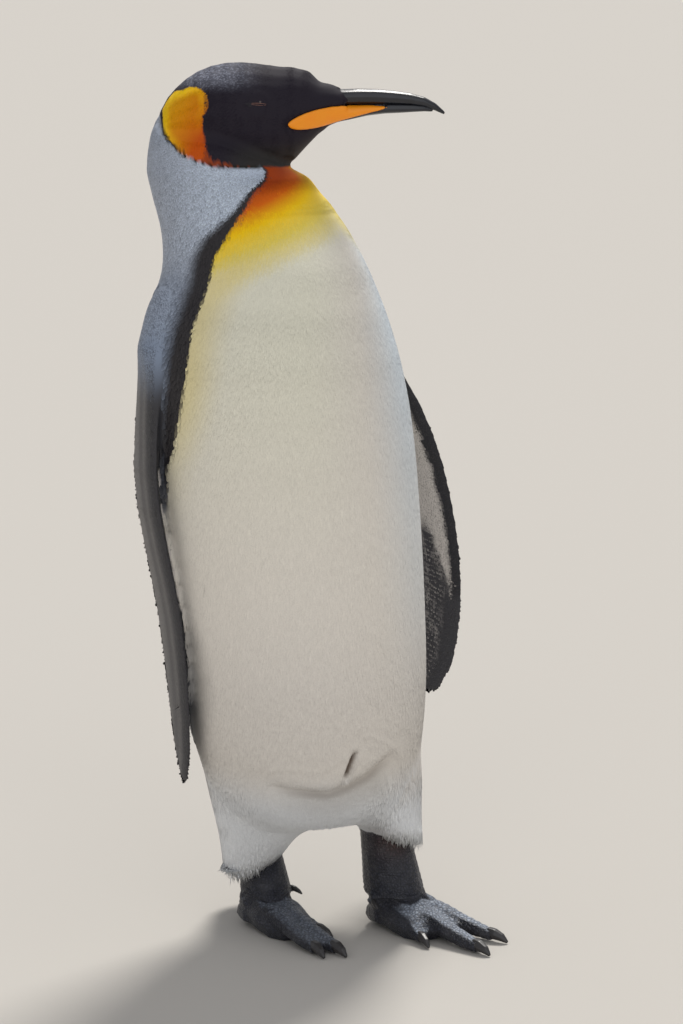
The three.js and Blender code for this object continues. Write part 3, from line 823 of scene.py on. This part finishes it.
def overHem(places, side):  # metres above the plane of the hem
    x, y, z = hems[side]["place"]
    return places[:, 2] - z - hems[side]["slant"] * (places[:, 0] - x)


def isBare(places, part):  # the skin of the feet, below the hems
    bare = np.zeros(len(places), bool)
    for side in sides:
        bare |= inParts(part, "foot_" + side, "tarsus_" + side) & (overHem(places, side) < 0.0005)
    return bare


def colourOf(places, normals, part, stray):
    colour, front = plumage(places, stray)
    for side in sides:
        on = inParts(part, "flipper_" + side)
        if on.any():
            colour[on] = wingColour(places[on], normals[on], side, stray[on])
    colour[inParts(part, "tail")] = paint["rump"]
    bare = isBare(places, part)
    # painted highlight: the tops of the toes are painted lighter, as the sky's reflection on their glossy
    # skin, and more on the left foot, as if it stood in the light and the right one in shade
    gloss = np.where(places[:, 0] > 0, 0.72, 0.3)  # the left foot's toes are the brighter ones
    gloss = gloss * ease(0.5, 0.95, normals[:, 2]) * (places[:, 2] < 0.032)
    foot = tint(plain("foot", places), "toeHighlight", gloss)
    colour[bare] = tint(foot, "stain", 0.75 * blotch("stain", places))[bare]
    return colour, front


skinPlaces = placesOf(skin.data)
skinNormals = normalsOf(skin.data)
skinColour, skinFront = colourOf(skinPlaces, skinNormals, skinPart, np.zeros(len(skinPlaces)))
# painted shade: the skin is painted a little darker than the coat, as shade under the feathers
storeColour(skin.data, skinColour * 0.97)


def stretchedBall(segments, rings):  # triangles round an axis along +X, from 0 to 1
    bpy.ops.mesh.primitive_uv_sphere_add(segments=segments, ring_count=rings, radius=0.5)
    item = bpy.context.active_object
    with editing(item):
        bpy.ops.mesh.quads_convert_to_tris()
    places = placesOf(item.data)[:, [2, 1, 0]]
    places[:, 0] += 0.5
    return item, places


def takenShape(item, places):  # swapping two axes turned the faces inside out
    shape = {"places": places, "faces": trianglesOf(item.data)[:, ::-1]}
    bpy.data.objects.remove(item)
    return shape


# One feather along +X from its root, 1 long, 1 wide and 1 high, with its ridge up. The widest
# places are shares of its length, and a slim one has its two rings in one place.
def makeFeather(widest):
    item, places = stretchedBall(3, len(widest) + 1)
    places[:, 1] /= places[:, 1].max() - places[:, 1].min()
    low, top = places[:, 2].min(), places[:, 2].max()
    places[:, 2] = (places[:, 2] - low) / (top - low) - 0.3
    middle = (places[:, 0] > 0.01) & (places[:, 0] < 0.99)
    places[~middle, 2] = 0
    first = middle & (places[:, 0] < 0.5)
    second = middle & ~first
    places[first, 0] = widest[0]
    places[second, 0] = widest[-1]
    if len(widest) > 1:
        places[second, 1:] *= 0.94
    setPlaces(item, places)
    with editing(item):
        bpy.ops.mesh.remove_doubles(threshold=0.001)
    return takenShape(item, placesOf(item.data))


slim = makeFeather((0.5,))
scale = makeFeather((0.35, 0.82))


def faceNormals(places, faces):  # each as long as twice the face's area
    corners = places[faces]
    return np.cross(corners[:, 1] - corners[:, 0], corners[:, 2] - corners[:, 0])


# Random places on the chosen faces, no two closer than the spacing times the size there.
def scatter(places, faces, chosen, spacing, sizeOf):
    corners = places[faces[chosen]]
    area = np.linalg.norm(faceNormals(places, faces[chosen]), axis=1) / 2
    size = sizeOf(corners.mean(1))
    weight = area / size**2
    count = int(weight.sum() / spacing**2 * 4.5)  # tries, of which about a fifth find room
    pick = dice.choice(len(area), count, p=weight / weight.sum())
    a, b = dice.random((2, count))
    flip = a + b > 1
    a[flip], b[flip] = 1 - a[flip], 1 - b[flip]
    shares = np.stack([1 - a - b, a, b], 1)
    spots = np.einsum("ij,ijk->ik", shares, corners[pick])
    apart = spacing * size[pick]
    cell = apart.max()
    grid, keep = {}, []
    cells = np.floor(spots / cell).astype(int).tolist()
    limits = (apart * apart).tolist()
    near = [(i, j, k) for i in (-1, 0, 1) for j in (-1, 0, 1) for k in (-1, 0, 1)]
    near.sort(key=lambda c: abs(c[0]) + abs(c[1]) + abs(c[2]))
    rows = spots.tolist()
    for index, (i, j, k) in enumerate(cells):
        x, y, z = rows[index]
        limit = limits[index]
        clear = True
        for di, dj, dk in near:
            for u, v, w in grid.get((i + di, j + dj, k + dk), ()):
                if (u - x) ** 2 + (v - y) ** 2 + (w - z) ** 2 < limit:
                    clear = False
                    break
            if not clear:
                break
        if clear:
            grid.setdefault((i, j, k), []).append((x, y, z))
            keep.append(index)
    keep = np.array(keep)
    return spots[keep], chosen[pick[keep]], shares[keep]


def lieOf(places, part):  # the way the feathers point, before it is laid on the skin
    ahead, left, up = onHead(places)
    down = np.tile((0.0, 0.0, -1.0), (len(places), 1))
    back = np.tile(-headAhead, (len(places), 1))
    turn = np.clip((0.012 - ahead) / 0.075, 0, 1) + np.clip((-0.012 - up) / 0.03, 0, 1)
    lie = blend(back, down, np.where(places[:, 2] > 0.64, np.clip(turn, 0, 1), 1))
    for side in sides:
        on = inParts(part, "flipper_" + side)
        if on.any():
            share, forward, front, outward, along = onFlipper(places[on], side)
            lie[on] = along - 0.16 * front
    return lie


def meshOf(name, places, faces):
    mesh = bpy.data.meshes.new(name)
    mesh.vertices.add(len(places))
    mesh.vertices.foreach_set("co", places.reshape(-1).astype(np.float32))
    mesh.loops.add(len(faces) * 3)
    mesh.loops.foreach_set("vertex_index", faces.ravel().astype(np.int32))
    mesh.polygons.add(len(faces))
    mesh.polygons.foreach_set("loop_start", np.arange(0, len(faces) * 3, 3, dtype=np.int32))
    mesh.polygons.foreach_set("loop_total", np.full(len(faces), 3, np.int32))
    mesh.polygons.foreach_set("use_smooth", np.ones(len(faces), bool))
    mesh.update(calc_edges=True)
    return mesh


# Each feather is a small patch at its root's place on an unwrap of the skin under it.
bake = {"patch": 0.003, "margin": 0.004}


def bakePatches(mesh, flat, shape, faces):
    low, high = flat.min(0), flat.max(0)
    flat = bake["margin"] + (flat - low) / (high - low) * (1 - 2 * bake["margin"])
    patch = np.stack([shape[:, 0] - 0.5, shape[:, 1]], 1) * bake["patch"]
    layer = mesh.uv_layers.new(name="OFBake")
    corner = np.clip(np.repeat(flat, len(shape), 0) + np.tile(patch, (len(flat), 1)), 0, 1)
    layer.data.foreach_set("uv", corner[faces.ravel()].astype(np.float32).ravel())


def growCoat(coat, spots, normals, lies, colourAt, size):
    count = len(spots)
    length = coat["length"] * size * dice.uniform(1 - coat["ragged"], 1 + coat["ragged"], count)
    width = coat["width"] * size * dice.uniform(0.9, 1.1, count)
    # feathers are smaller and lie closer along a thin edge
    flat = coat["edge"](spots, normals) if "edge" in coat else np.ones(count)
    thick = coat["thick"] * size * (0.35 + 0.65 * flat)
    lies = unit(lies - normals * np.sum(lies * normals, 1)[:, None])
    sway = dice.normal(0, coat["sway"], count)[:, None]
    lies = unit(lies + np.cross(normals, lies) * sway)
    sideways = np.cross(normals, lies)
    lift = np.radians(coat["lift"]) * dice.uniform(0.85, 1.15, count) * flat
    length = length * (0.22 + 0.78 * flat)
    axis = lies * np.cos(lift)[:, None] + normals * np.sin(lift)[:, None]
    ridge = np.cross(axis, sideways)
    shape = coat["shape"]["places"]
    points = len(shape)
    local = shape[None] * np.stack([length, width, thick], 1)[:, None]
    places = (spots - normals * coat["sink"])[:, None] + local[:, :, :1] * axis[:, None]
    places = places + local[:, :, 1:2] * sideways[:, None] + local[:, :, 2:] * ridge[:, None]
    faces = (coat["shape"]["faces"][None] + points * np.arange(count)[:, None, None]).reshape(-1, 3)
    mesh = meshOf(coat["name"], places.reshape(-1, 3), faces)
    if coat["silky"]:  # the gloss runs on from feather to feather
        share = coat["silky"] * (0.3 + 0.7 * flat)
        if "loose" in coat:
            share = share * (1 - coat["loose"](spots))
        share = np.repeat(share, points)[:, None]
        silky = unit(normalsOf(mesh) * (1 - share) + np.repeat(normals, points, 0) * share)
        mesh.normals_split_custom_set_from_vertices(silky.tolist())
    # each feather is darker at its root and lighter at its tip: partly the feathers' own markings, partly
    # painted shade where the feathers overlap
    shade = np.interp(np.tile(shape[:, 0], count), (0, 0.6, 0.82, 1), coat["shade"])
    tone = np.repeat(dice.normal(1, coat["tone"], count), points)
    colours = colourAt(spots, spots + lies * (0.78 * length)[:, None])  # the tip is the part that shows
    storeColour(mesh, np.clip(np.repeat(colours, points, 0) * (shade * tone)[:, None], 0, 1))
    bakePatches(mesh, coat["unwrap"](spots, normals), shape, faces)
    item = bpy.data.objects.new(coat["name"], mesh)
    bpy.context.scene.collection.objects.link(item)
    coatPieces.append((item, coat))
    print(coat["name"], count, "feathers", len(faces), "triangles")


def unwrapBody(places, normals):  # round the body, and up it
    angle, radius = aroundBody(places)
    return np.stack([angle, places[:, 2]], 1)


def unwrapHead(places, normals):  # round the line from the bill to the nape, and along it
    ahead, left, up = onHead(places)
    return np.stack([np.arctan2(left, up + 0.005), ahead - 0.35 * up], 1)


def unwrapWing(side):  # the outer side lies beside the inner one
    def unwrap(places, normals):
        share, forward, ahead, outward, down = onFlipper(places, side)
        inner = np.sum(normals * outward, 1) < 0
        return np.stack([np.where(inner, 0.11 - forward, forward), share], 1)

    return unwrap


def wingEdge(side):
    def flatness(places, normals):
        outward = onFlipper(places, side)[3]
        return ease(0.35, 0.85, np.abs(np.sum(normals * outward, 1)))

    return flatness


skinFaces = trianglesOf(skin.data)
faceMiddle = skinPlaces[skinFaces].mean(1)
facePart = skinPart[skinFaces[:, 0]]
faceFront = skinFront[skinFaces].mean(1)
faceNormal = unit(faceNormals(skinPlaces, skinFaces))
faceAngle = aroundBody(faceMiddle)[0]
faceUp = faceMiddle[:, 2]
isHood = inParts(facePart, "head", "neck") & (aboveCollar(faceMiddle) > 0)
for side in sides:  # none in the slits between the lids
    eyeMiddle, outward, along, upward = eyeFrame(side)
    offset = faceMiddle - eyeMiddle
    reach = np.hypot(offset @ along / (eyes["slit"] + 0.0012), offset @ upward / (eyes["open"] + 0.0005))
    isHood &= (reach >= 1) | (offset @ outward <= 0)
isFront = inParts(facePart, "trunk", "neck", "head") & ~isHood
isBack = isFront & (faceFront >= 0.034 * ease(0.41, 0.35, faceUp))
isFront &= ~isBack
isLeg = inParts(facePart, "leg_right", "leg_left")


def evenSize(places):
    return np.ones(len(places))


def frontSize(places):  # feathers are shorter up the neck, and by the fold
    size = np.interp(places[:, 2], (0.08, 0.12, 0.40, 0.56, 0.62, 0.67), (0.85, 1, 1, 0.8, 0.60, 0.42))
    away = np.minimum(*(awayFromLine(places, folds[name]["line"])[0] for name in ("fold", "parting")))
    return size * (0.5 + 0.5 * ease(0.008, 0.030, away))


def backSize(places):
    return np.interp(places[:, 2], (0.12, 0.45, 0.55, 0.62, 0.67), (1.1, 1, 0.85, 0.66, 0.44))


def hoodSize(places):  # smallest round the bill and the eyes
    ahead, left, up = onHead(places)
    size = np.interp(ahead, (-0.06, -0.01, 0.05, 0.075, 0.088), (1.0, 0.95, 0.8, 0.6, 0.5))
    size = size * (0.62 + 0.38 * ease(0.006, 0.016, awayFromEye(places)))
    return size * (0.58 + 0.42 * ease(0.003, 0.009, aboveCollar(places)))


def hemLoose(places):  # each feather shows by the hems, and they run together above them
    over = np.where(places[:, 0] > 0, overHem(places, "left"), overHem(places, "right"))
    return 0.7 * (1 - ease(0.004, 0.028, over))


plume = {"ragged": 0.12, "sink": 0.0003, "size": evenSize}
front = {
    **plume, "spacing": 0.0016, "length": 0.0130, "width": 0.0028, "thick": 0.0001, "lift": 1.3,
    "sink": 0.0001, "shape": slim, "slot": "white_plumage", "finish": "soft", "tone": 0.018,
    "shade": (0.95, 0.99, 1.0, 1.0), "sway": 0.04, "silky": 0.93, "unwrap": unwrapBody, "size": frontSize,
}
rear = {
    **plume, "spacing": 0.0023, "length": 0.0098, "width": 0.0034, "thick": 0.0004, "lift": 6.0,
    "shape": scale, "slot": "back_plumage", "finish": "sleek", "tone": 0.09,
    "shade": (0.5, 0.64, 0.82, 1.3), "sway": 0.07, "silky": 0.65, "unwrap": unwrapBody, "size": backSize,
}
wing = {
    **plume, "spacing": 0.00148, "length": 0.0038, "width": 0.0019, "thick": 0.0003, "lift": 4,
    "shape": scale, "slot": "flipper", "finish": "sleek", "tone": 0.12,
    "shade": (0.4, 0.5, 0.78, 1.5), "silky": 0.6, "sway": 0.03,
}
down = {
    **plume, "spacing": 0.00100, "length": 0.0040, "width": 0.0012, "thick": 0.00016, "lift": 5.5,
    "shape": slim, "slot": "hood_plumage", "finish": "velvet", "tone": 0.05,
    "shade": (0.85, 0.95, 1.0, 1.05), "sway": 0.06, "silky": 0.82, "unwrap": unwrapHead, "size": hoodSize,
}
coats = [
    {**front, "name": "bellyRight", "on": isFront & (faceUp < 0.42) & (faceAngle > 0)},
    {**front, "name": "bellyLeft", "on": isFront & (faceUp < 0.42) & (faceAngle <= 0)},
    {**front, "name": "breast", "on": isFront & (faceUp >= 0.42)},
    {**rear, "name": "backRight", "on": isBack & (faceAngle > 0)},
    {**rear, "name": "backLeft", "on": isBack & (faceAngle <= 0)},
    {**down, "name": "hood", "on": isHood},
    {**front, "name": "thighs", "on": isLeg, "sway": 0.06, "silky": 0.78, "lift": 1.6, "loose": hemLoose},
    {**rear, "name": "rump", "on": inParts(facePart, "tail"), "lift": 3.0},
]
for side in sides:
    onWing = inParts(facePart, "flipper_" + side)
    spread = {"unwrap": unwrapWing(side), "edge": wingEdge(side)}
    coats.append({**wing, **spread, "name": "wing" + side.capitalize(), "on": onWing})
loose = {
    **front, "spacing": 0.0013, "length": 0.0150, "width": 0.0015, "thick": 0.0002, "lift": 1.5, "sway": 0.11,
    "sink": 0.0004, "ragged": 0.28, "silky": 0.1, "size": evenSize,
}
for side in sides:  # long loose feathers hang over the top of each foot
    over = overHem(faceMiddle, side)
    onHem = inParts(facePart, "leg_" + side) & (over > hems["low"]) & (over < hems["high"])
    coats.append({**loose, "name": "fringe_" + side, "on": onHem & (faceNormal[:, 2] > -0.9)})
coatPieces = []


def addCoat(coat):
    chosen = np.nonzero(coat["on"])[0]
    spots, tri, shares = scatter(skinPlaces, skinFaces, chosen, coat["spacing"], coat["size"])
    normals = unit(np.einsum("ij,ijk->ik", shares, skinNormals[skinFaces[tri]]))
    part = facePart[tri]
    stray = dice.normal(0, 0.0004, len(spots))
    onLeg = inParts(part, "leg_right", "leg_left")[:, None]

    def colourAt(roots, tips):  # the trousers hang past the part that they grow on
        return colourOf(np.where(onLeg, roots, tips), normals, part, stray)[0]

    growCoat(coat, spots, normals, lieOf(spots, part), colourAt, coat["size"](spots))


for coat in coats:
    addCoat(coat)


# The tail's stiff quills, in a fan over the back of the tail and another under it.
quills = {
    "count": 13, "spread": 0.030, "tip": 0.011, "root": 0.116, "low": 0.0545, "middle": -0.032,
    "behind": 0.095, "tipBehind": 0.112, "under": 0.014,
}


def makeQuill():  # 1 long along +X, 1 wide, with a rounded end and a raised shaft
    item, places = stretchedBall(8, 9)
    ring = np.sqrt(np.clip(0.25 - (places[:, 0] - 0.5) ** 2, 0, 1))
    wide = 0.5 * np.interp(places[:, 0], (0, 0.15, 0.6, 0.88, 0.97, 1), (0.3, 0.55, 1, 0.85, 0.5, 0))
    places[:, 1:] *= (wide / np.maximum(ring, 0.001))[:, None]
    places[:, 2] += 0.5 * (np.abs(places[:, 1]) < 0.02) * (places[:, 2] > 0)
    return takenShape(item, places)


def tailQuills():
    tree = BVHTree.FromPolygons(skinPlaces.tolist(), skinFaces.tolist())
    spots, normals, lies, sizes = [], [], [], []
    for way in (1, -1):  # the back of the tail, then its underside
        inward = Vector((0, -way, 0))
        for share in np.linspace(-1, 1, quills["count"]):
            height = quills["root"] - 0.006 * abs(share) - (quills["under"] if way < 0 else 0)
            start = (quills["middle"] + share * quills["spread"], quills["behind"] + way * 0.06, height)
            root = tree.ray_cast(Vector(start), inward)[0]
            height = quills["low"] + 0.017 * abs(share) ** 1.7 + (0.004 if way < 0 else 0)
            x, y = quills["middle"] + share * quills["tip"], quills["tipBehind"] + way * 0.05
            tip = tree.ray_cast(Vector((x, y, max(height, 0.056))), inward)[0]
            if root is None or tip is None:
                continue
            reach = Vector((tip.x, tip.y + way * 0.0012, height)) - root
            spots.append(root)
            lies.append(reach.normalized())
            sizes.append(reach.length)
            normals.append((0, way, 0.25))
    lies = np.array(lies)
    normals = np.array(normals)
    normals = unit(normals - lies * np.sum(lies * normals, 1)[:, None])
    sizes = np.array(sizes)
    coat = {
        **rear, "name": "tailQuills", "length": sizes.mean(), "width": 0.0105, "thick": 0.0011, "lift": 1.2,
        "ragged": 0.02, "sway": 0.01, "silky": 0, "tone": 0.08, "sink": 0.0002,
        "shade": (0.8, 0.95, 1.0, 1.1), "shape": makeQuill(),
    }
    size = sizes / coat["length"]
    growCoat(coat, np.array(spots), normals, lies, lambda roots, tips: plain("quill", tips), size)


tailQuills()


class Wire:  # a socket that can be used in a sum
    def __init__(self, finish, socket):
        self.finish = finish
        self.socket = socket

    def sum(self, operation, other):
        return self.finish.add("ShaderNodeMath", {"operation": operation}, {0: self, 1: other})

    def __add__(self, other):
        return self.sum("ADD", other)

    def __mul__(self, other):
        return self.sum("MULTIPLY", other)


class Finish:  # a material and its nodes
    def __init__(self, name, **constants):
        self.material = bpy.data.materials.new(name)
        self.material.use_nodes = True
        self.tree = self.material.node_tree
        self.shader = self.tree.nodes["Principled BSDF"]
        for socket, value in constants.items():
            self.shader.inputs[socket.replace("_", " ")].default_value = value

    def add(self, kind, settings=None, sockets=None, out=0):
        node = self.tree.nodes.new(kind)
        for key, value in (settings or {}).items():
            setattr(node, key, value)
        for key, value in (sockets or {}).items():
            self.feed(node.inputs[key], value)
        return Wire(self, node.outputs[out])

    def feed(self, socket, value):
        if isinstance(value, Wire):
            self.tree.links.new(value.socket, socket)
        else:
            socket.default_value = value

    def colour(self, value):
        self.feed(self.shader.inputs["Base Color"], value)
        return self

    def stored(self):  # the colours kept on the mesh
        return self.add("ShaderNodeAttribute", {"attribute_name": "plumage"})

    def mix(self, share, under, over, how="MIX"):
        settings = {"data_type": "RGBA", "blend_type": how}
        return self.add("ShaderNodeMix", settings, {0: share, 6: under, 7: over}, 2)

    def ramp(self, value, *stops):
        wire = self.add("ShaderNodeValToRGB", {}, {0: value})
        for element, (place, colour) in zip(wire.socket.node.color_ramp.elements, stops):
            element.position = place
            element.color = (*colour, 1)
        return wire

    def place(self):
        return self.add("ShaderNodeTexCoord", out=3)

    def noise(self, scale, detail=3.0, rough=0.5, stretch=None):
        where = self.place()
        if stretch:
            where = self.add("ShaderNodeMapping", {}, {"Vector": where, "Scale": stretch})
        sockets = {"Vector": where, "Scale": scale, "Detail": detail, "Roughness": rough}
        return self.add("ShaderNodeTexNoise", {}, sockets)

    def bump(self, height, strength, distance):
        sockets = {"Height": height, "Strength": strength, "Distance": distance}
        self.feed(self.shader.inputs["Normal"], self.add("ShaderNodeBump", {}, sockets))
        return self


def plumageFinish(name, roughness, sheen, gloss):
    constants = {"Sheen_Weight": sheen, "Sheen_Roughness": 0.4, "Specular_IOR_Level": gloss}
    finish = Finish(name, Roughness=roughness, **constants)
    fleck = finish.ramp(finish.noise(900, 2), (0.3, (0.7, 0.7, 0.7)), (0.7, (1.25, 1.25, 1.25)))
    stored = finish.stored()
    return finish.colour(finish.mix(0.15, stored, finish.mix(1.0, stored, fleck, "MULTIPLY"))).material


finishes = {
    "soft": plumageFinish("whitePlumage", 0.75, 0.10, 0.25),
    "sleek": plumageFinish("sleekPlumage", 0.55, 0.03, 0.35),
    "velvet": plumageFinish("hoodPlumage", 0.75, 0.0, 0.14),
}


def footFinish():
    finish = Finish("footSkin", Specular_IOR_Level=0.45)
    sockets = {"Vector": finish.place(), "Scale": 330.0, "Randomness": 0.9}
    cells = finish.add("ShaderNodeTexVoronoi", {"feature": "DISTANCE_TO_EDGE"}, sockets)
    creases = finish.noise(160, 5, 0.6) + finish.noise(130, 4, 0.6, stretch=(0.5, 0.5, 6.5)) * 1.5
    pattern = finish.ramp(cells, (0.0, (0.4, 0.4, 0.42)), (0.25, (1.15, 1.15, 1.2)))
    base = finish.mix(1.0, finish.stored(), pattern, "MULTIPLY")
    dusty = finish.ramp(finish.noise(55, 4), (0.45, (0, 0, 0)), (0.75, (0.35, 0.35, 0.35)))
    finish.colour(finish.mix(dusty, base, (0.10, 0.10, 0.11, 1)))
    finish.feed(finish.shader.inputs["Roughness"], creases * 0.12 + 0.24)
    return finish.bump(cells * 1.2 + creases * 0.9, 0.8, 0.0018).material


mesh = skin.data
mesh.materials.append(finishes["soft"])
mesh.materials.append(footFinish())
cornerPoint = readAll(mesh.loops, "vertex_index", 1, np.int32).ravel()
firstCorner = readAll(mesh.polygons, "loop_start", 1, np.int32).ravel()
bareFace = isBare(skinPlaces, skinPart)[cornerPoint[firstCorner]]
mesh.polygons.foreach_set("material_index", bareFace.astype(np.int32))
for piece, coat in coatPieces:
    piece.data.materials.append(finishes[coat["finish"]])
    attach(piece, "root")
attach(skin, "root")
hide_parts(*partNames)


def smoothed(node, kind):
    item = copyOf(node)
    modify(item, "REMESH", mode="VOXEL", voxel_size=kind["grain"], adaptivity=0)
    if "evened" in kind:
        evened(item, kind["evened"])
    modify(item, "SMOOTH", factor=0.5, iterations=kind["rounds"])
    modify(item, "DISPLACE", strength=kind["swell"], mid_level=0)
    return smoothShaded(item, node + "_finished")


def hornFinish(name, colour, light, roughness, coat):
    finish = Finish(name, Roughness=roughness, Specular_IOR_Level=0.5, Coat_Weight=coat, Coat_Roughness=0.25)
    finish.colour(finish.mix(finish.noise(120, 4, 0.6), opaque(colour), opaque(light)))
    return finish.bump(finish.noise(700, 3), 0.15, 0.0004).material


horns = {
    "bill": {
        "finish": hornFinish("billHorn", (14, 15, 20), (34, 36, 45), 0.32, 0.15),
        "grain": 0.0008, "rounds": 6, "swell": 0.0004, "slot": "bill",
    },
    "plate": {
        "finish": hornFinish("billPlate", (255, 146, 4), (255, 162, 12), 0.5, 0.05),
        "grain": 0.0006, "evened": 60, "rounds": 3, "swell": 0.0005, "slot": "bill_plate",
    },
    "claw": {
        "finish": hornFinish("clawHorn", (26, 25, 27), (60, 57, 57), 0.40, 0.2),
        "grain": 0.0006, "rounds": 4, "swell": 0.0002, "slot": "claw",
    },
}
hornNames = ["bill_upper", "bill_lower", "plate_right", "plate_left"]
for name in hornNames + [name for name in nodes if name.startswith("claw_")]:
    kind = horns[name.split("_")[0]]
    item = smoothed(name, kind)
    if name == "bill_lower":  # its upper side is raised to close the mouth
        facing = ease(0.3, 0.8, normalsOf(item.data)[:, 2])
        setWeights(item, "closed", facing * ease(0.085, 0.11, onHead(placesOf(item.data))[0]))
        modify(item, "DISPLACE", strength=0.0016, mid_level=0, direction="Z", vertex_group="closed")
    item.data.materials.append(kind["finish"])
    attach(item, "root")
    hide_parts(name)
print("bill, plates and claws")

# Each eye: a dark pupil, a brown iris and a dark ring, in metres from the eye's own axis.
iris = {
    "rings": (0, 0.0021, 0.0024, 0.0048, 0.0052),
    "shades": ((4, 4, 5), (4, 4, 5), (70, 40, 24), (46, 25, 16), (14, 12, 13)),
}
eyeFinish = Finish("eyeBrown", Roughness=0.07, Specular_IOR_Level=0.6)
worn = eyeFinish.mix(1.0, eyeFinish.stored(), (0.5, 0.45, 0.4, 1), "MULTIPLY")
eyeFinish.colour(eyeFinish.mix(eyeFinish.noise(1400, 3), eyeFinish.stored(), worn))


def makeEye(side):
    centre, outward, along, upward = eyeFrame(side)
    item = copyOf("eye_" + side)
    item.data.transform(Matrix.Translation(Vector(-outward * eyes["sink"])))
    modify(item, "SUBSURF", levels=3, render_levels=3)
    offset = unit(placesOf(item.data) - centre)
    setPlaces(item, centre + offset * eyes["radius"])
    away = np.arccos(np.clip(offset @ outward, -1, 1)) * eyes["radius"]
    shades = linear(iris["shades"])
    storeColour(item.data, np.stack([np.interp(away, iris["rings"], shades[:, i]) for i in range(3)], 1))
    item.data.materials.append(eyeFinish.material)
    smoothShaded(item, "eyeball_" + side)
    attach(item, "root")
    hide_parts("eye_" + side)


# The rims of the lids: a thin roll of bare skin above and below each slit.
rims = {"upper": 0.00032, "lower": 0.00028, "proud": 0.0001, "steps": 40, "sides": 10, "past": 0.0004}
lidFinish = Finish("lidSkin", Roughness=0.5, Specular_IOR_Level=0.3)
lidFinish.colour(lidFinish.mix(lidFinish.noise(1500, 3), opaque((100, 70, 62)), opaque((136, 98, 88))))
lidFinish.bump(lidFinish.noise(2600, 2), 0.3, 0.0002)
skinTree = BVHTree.FromPolygons(skinPlaces.tolist(), skinFaces.tolist())


def makeRim(side, name, way):
    centre, outward, along, upward = eyeFrame(side)
    thick = rims[name]
    bpy.ops.mesh.primitive_cylinder_add(vertices=rims["sides"], radius=1, depth=2, end_fill_type="TRIFAN")
    item = bpy.context.active_object
    with editing(item):
        bpy.ops.mesh.subdivide(number_cuts=rims["steps"])
    places = placesOf(item.data)
    run = places[:, 2]
    taper = np.sqrt(np.clip(1.04 - run**2, 0.02, 1))
    middle = []
    for share in run:  # on the skin, along the slit's edge
        lift = way * (eyes["open"] * math.sqrt(max(0.0, 1 - share * share)) + thick * 0.55)
        spot = Vector(centre + along * share * (eyes["slit"] + rims["past"]) + upward * lift + outward * 0.02)
        hit = skinTree.ray_cast(spot, Vector(-outward))[0]
        middle.append(np.array(hit) + outward * (rims["proud"] - thick * 0.4))
    across = places[:, :1] * upward + places[:, 1:2] * outward
    setPlaces(item, np.array(middle) + thick * taper[:, None] * across)
    with editing(item):
        bpy.ops.mesh.normals_make_consistent(inside=False)
    smoothShaded(item, name + "Lid_" + side)
    item.data.materials.append(lidFinish.material)
    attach(item, "root")


for side in sides:
    makeEye(side)
    makeRim(side, "upper", 1)
    makeRim(side, "lower", -1)
print("eyes and lids")

view = {"place": (-1.6014, -2.0405, 0.830), "down": 10, "turn": -38, "lens": 106.7}
cameraData = bpy.data.cameras.new("camera")
cameraData.lens = view["lens"]
cameraData.sensor_width = 36
cameraData.clip_end = 600
camera = bpy.data.objects.new("camera", cameraData)
camera.location = view["place"]
camera.rotation_euler = (math.radians(90 - view["down"]), 0, math.radians(view["turn"]))
bpy.context.scene.collection.objects.link(camera)
bpy.context.scene.camera = camera

bpy.ops.mesh.primitive_plane_add(size=600, location=(0, 0, 0))
floor = bpy.context.active_object
floor.name = "floor"
floorFinish = Finish("floorPale", Roughness=0.95, Specular_IOR_Level=0.1)
floorFinish.colour(opaque((196, 192, 186)))
floor.data.materials.append(floorFinish.material)

studio = {"colour": (0.86, 0.87, 0.90, 1), "strength": 0.51}
world = bpy.data.worlds.new("studio")
world.use_nodes = True
backdrop = world.node_tree.nodes["Background"]
backdrop.inputs["Color"].default_value = studio["colour"]
backdrop.inputs["Strength"].default_value = studio["strength"]
bpy.context.scene.world = world
bpy.context.scene.view_settings.view_transform = "Standard"

# One broad high lamp behind the left shoulder, and a weaker one from the front.
lamps = {
    "key": {"from": (0.75, 0.55, 1.5), "power": 2.65, "spread": 16, "colour": (1.0, 0.97, 0.92)},
    "front": {"from": (-0.8, -1.2, 0.7), "power": 0.56, "spread": 60, "colour": (0.97, 0.98, 1.0)},
}
for name, lamp in lamps.items():
    lightData = bpy.data.lights.new(name, "SUN")
    lightData.energy = lamp["power"]
    lightData.angle = math.radians(lamp["spread"])
    lightData.color = lamp["colour"]
    light = bpy.data.objects.new(name, lightData)
    light.location = Vector(lamp["from"]) * 2
    light.rotation_euler = (-Vector(lamp["from"])).to_track_quat("-Z", "Y").to_euler()
    bpy.context.scene.collection.objects.link(light)
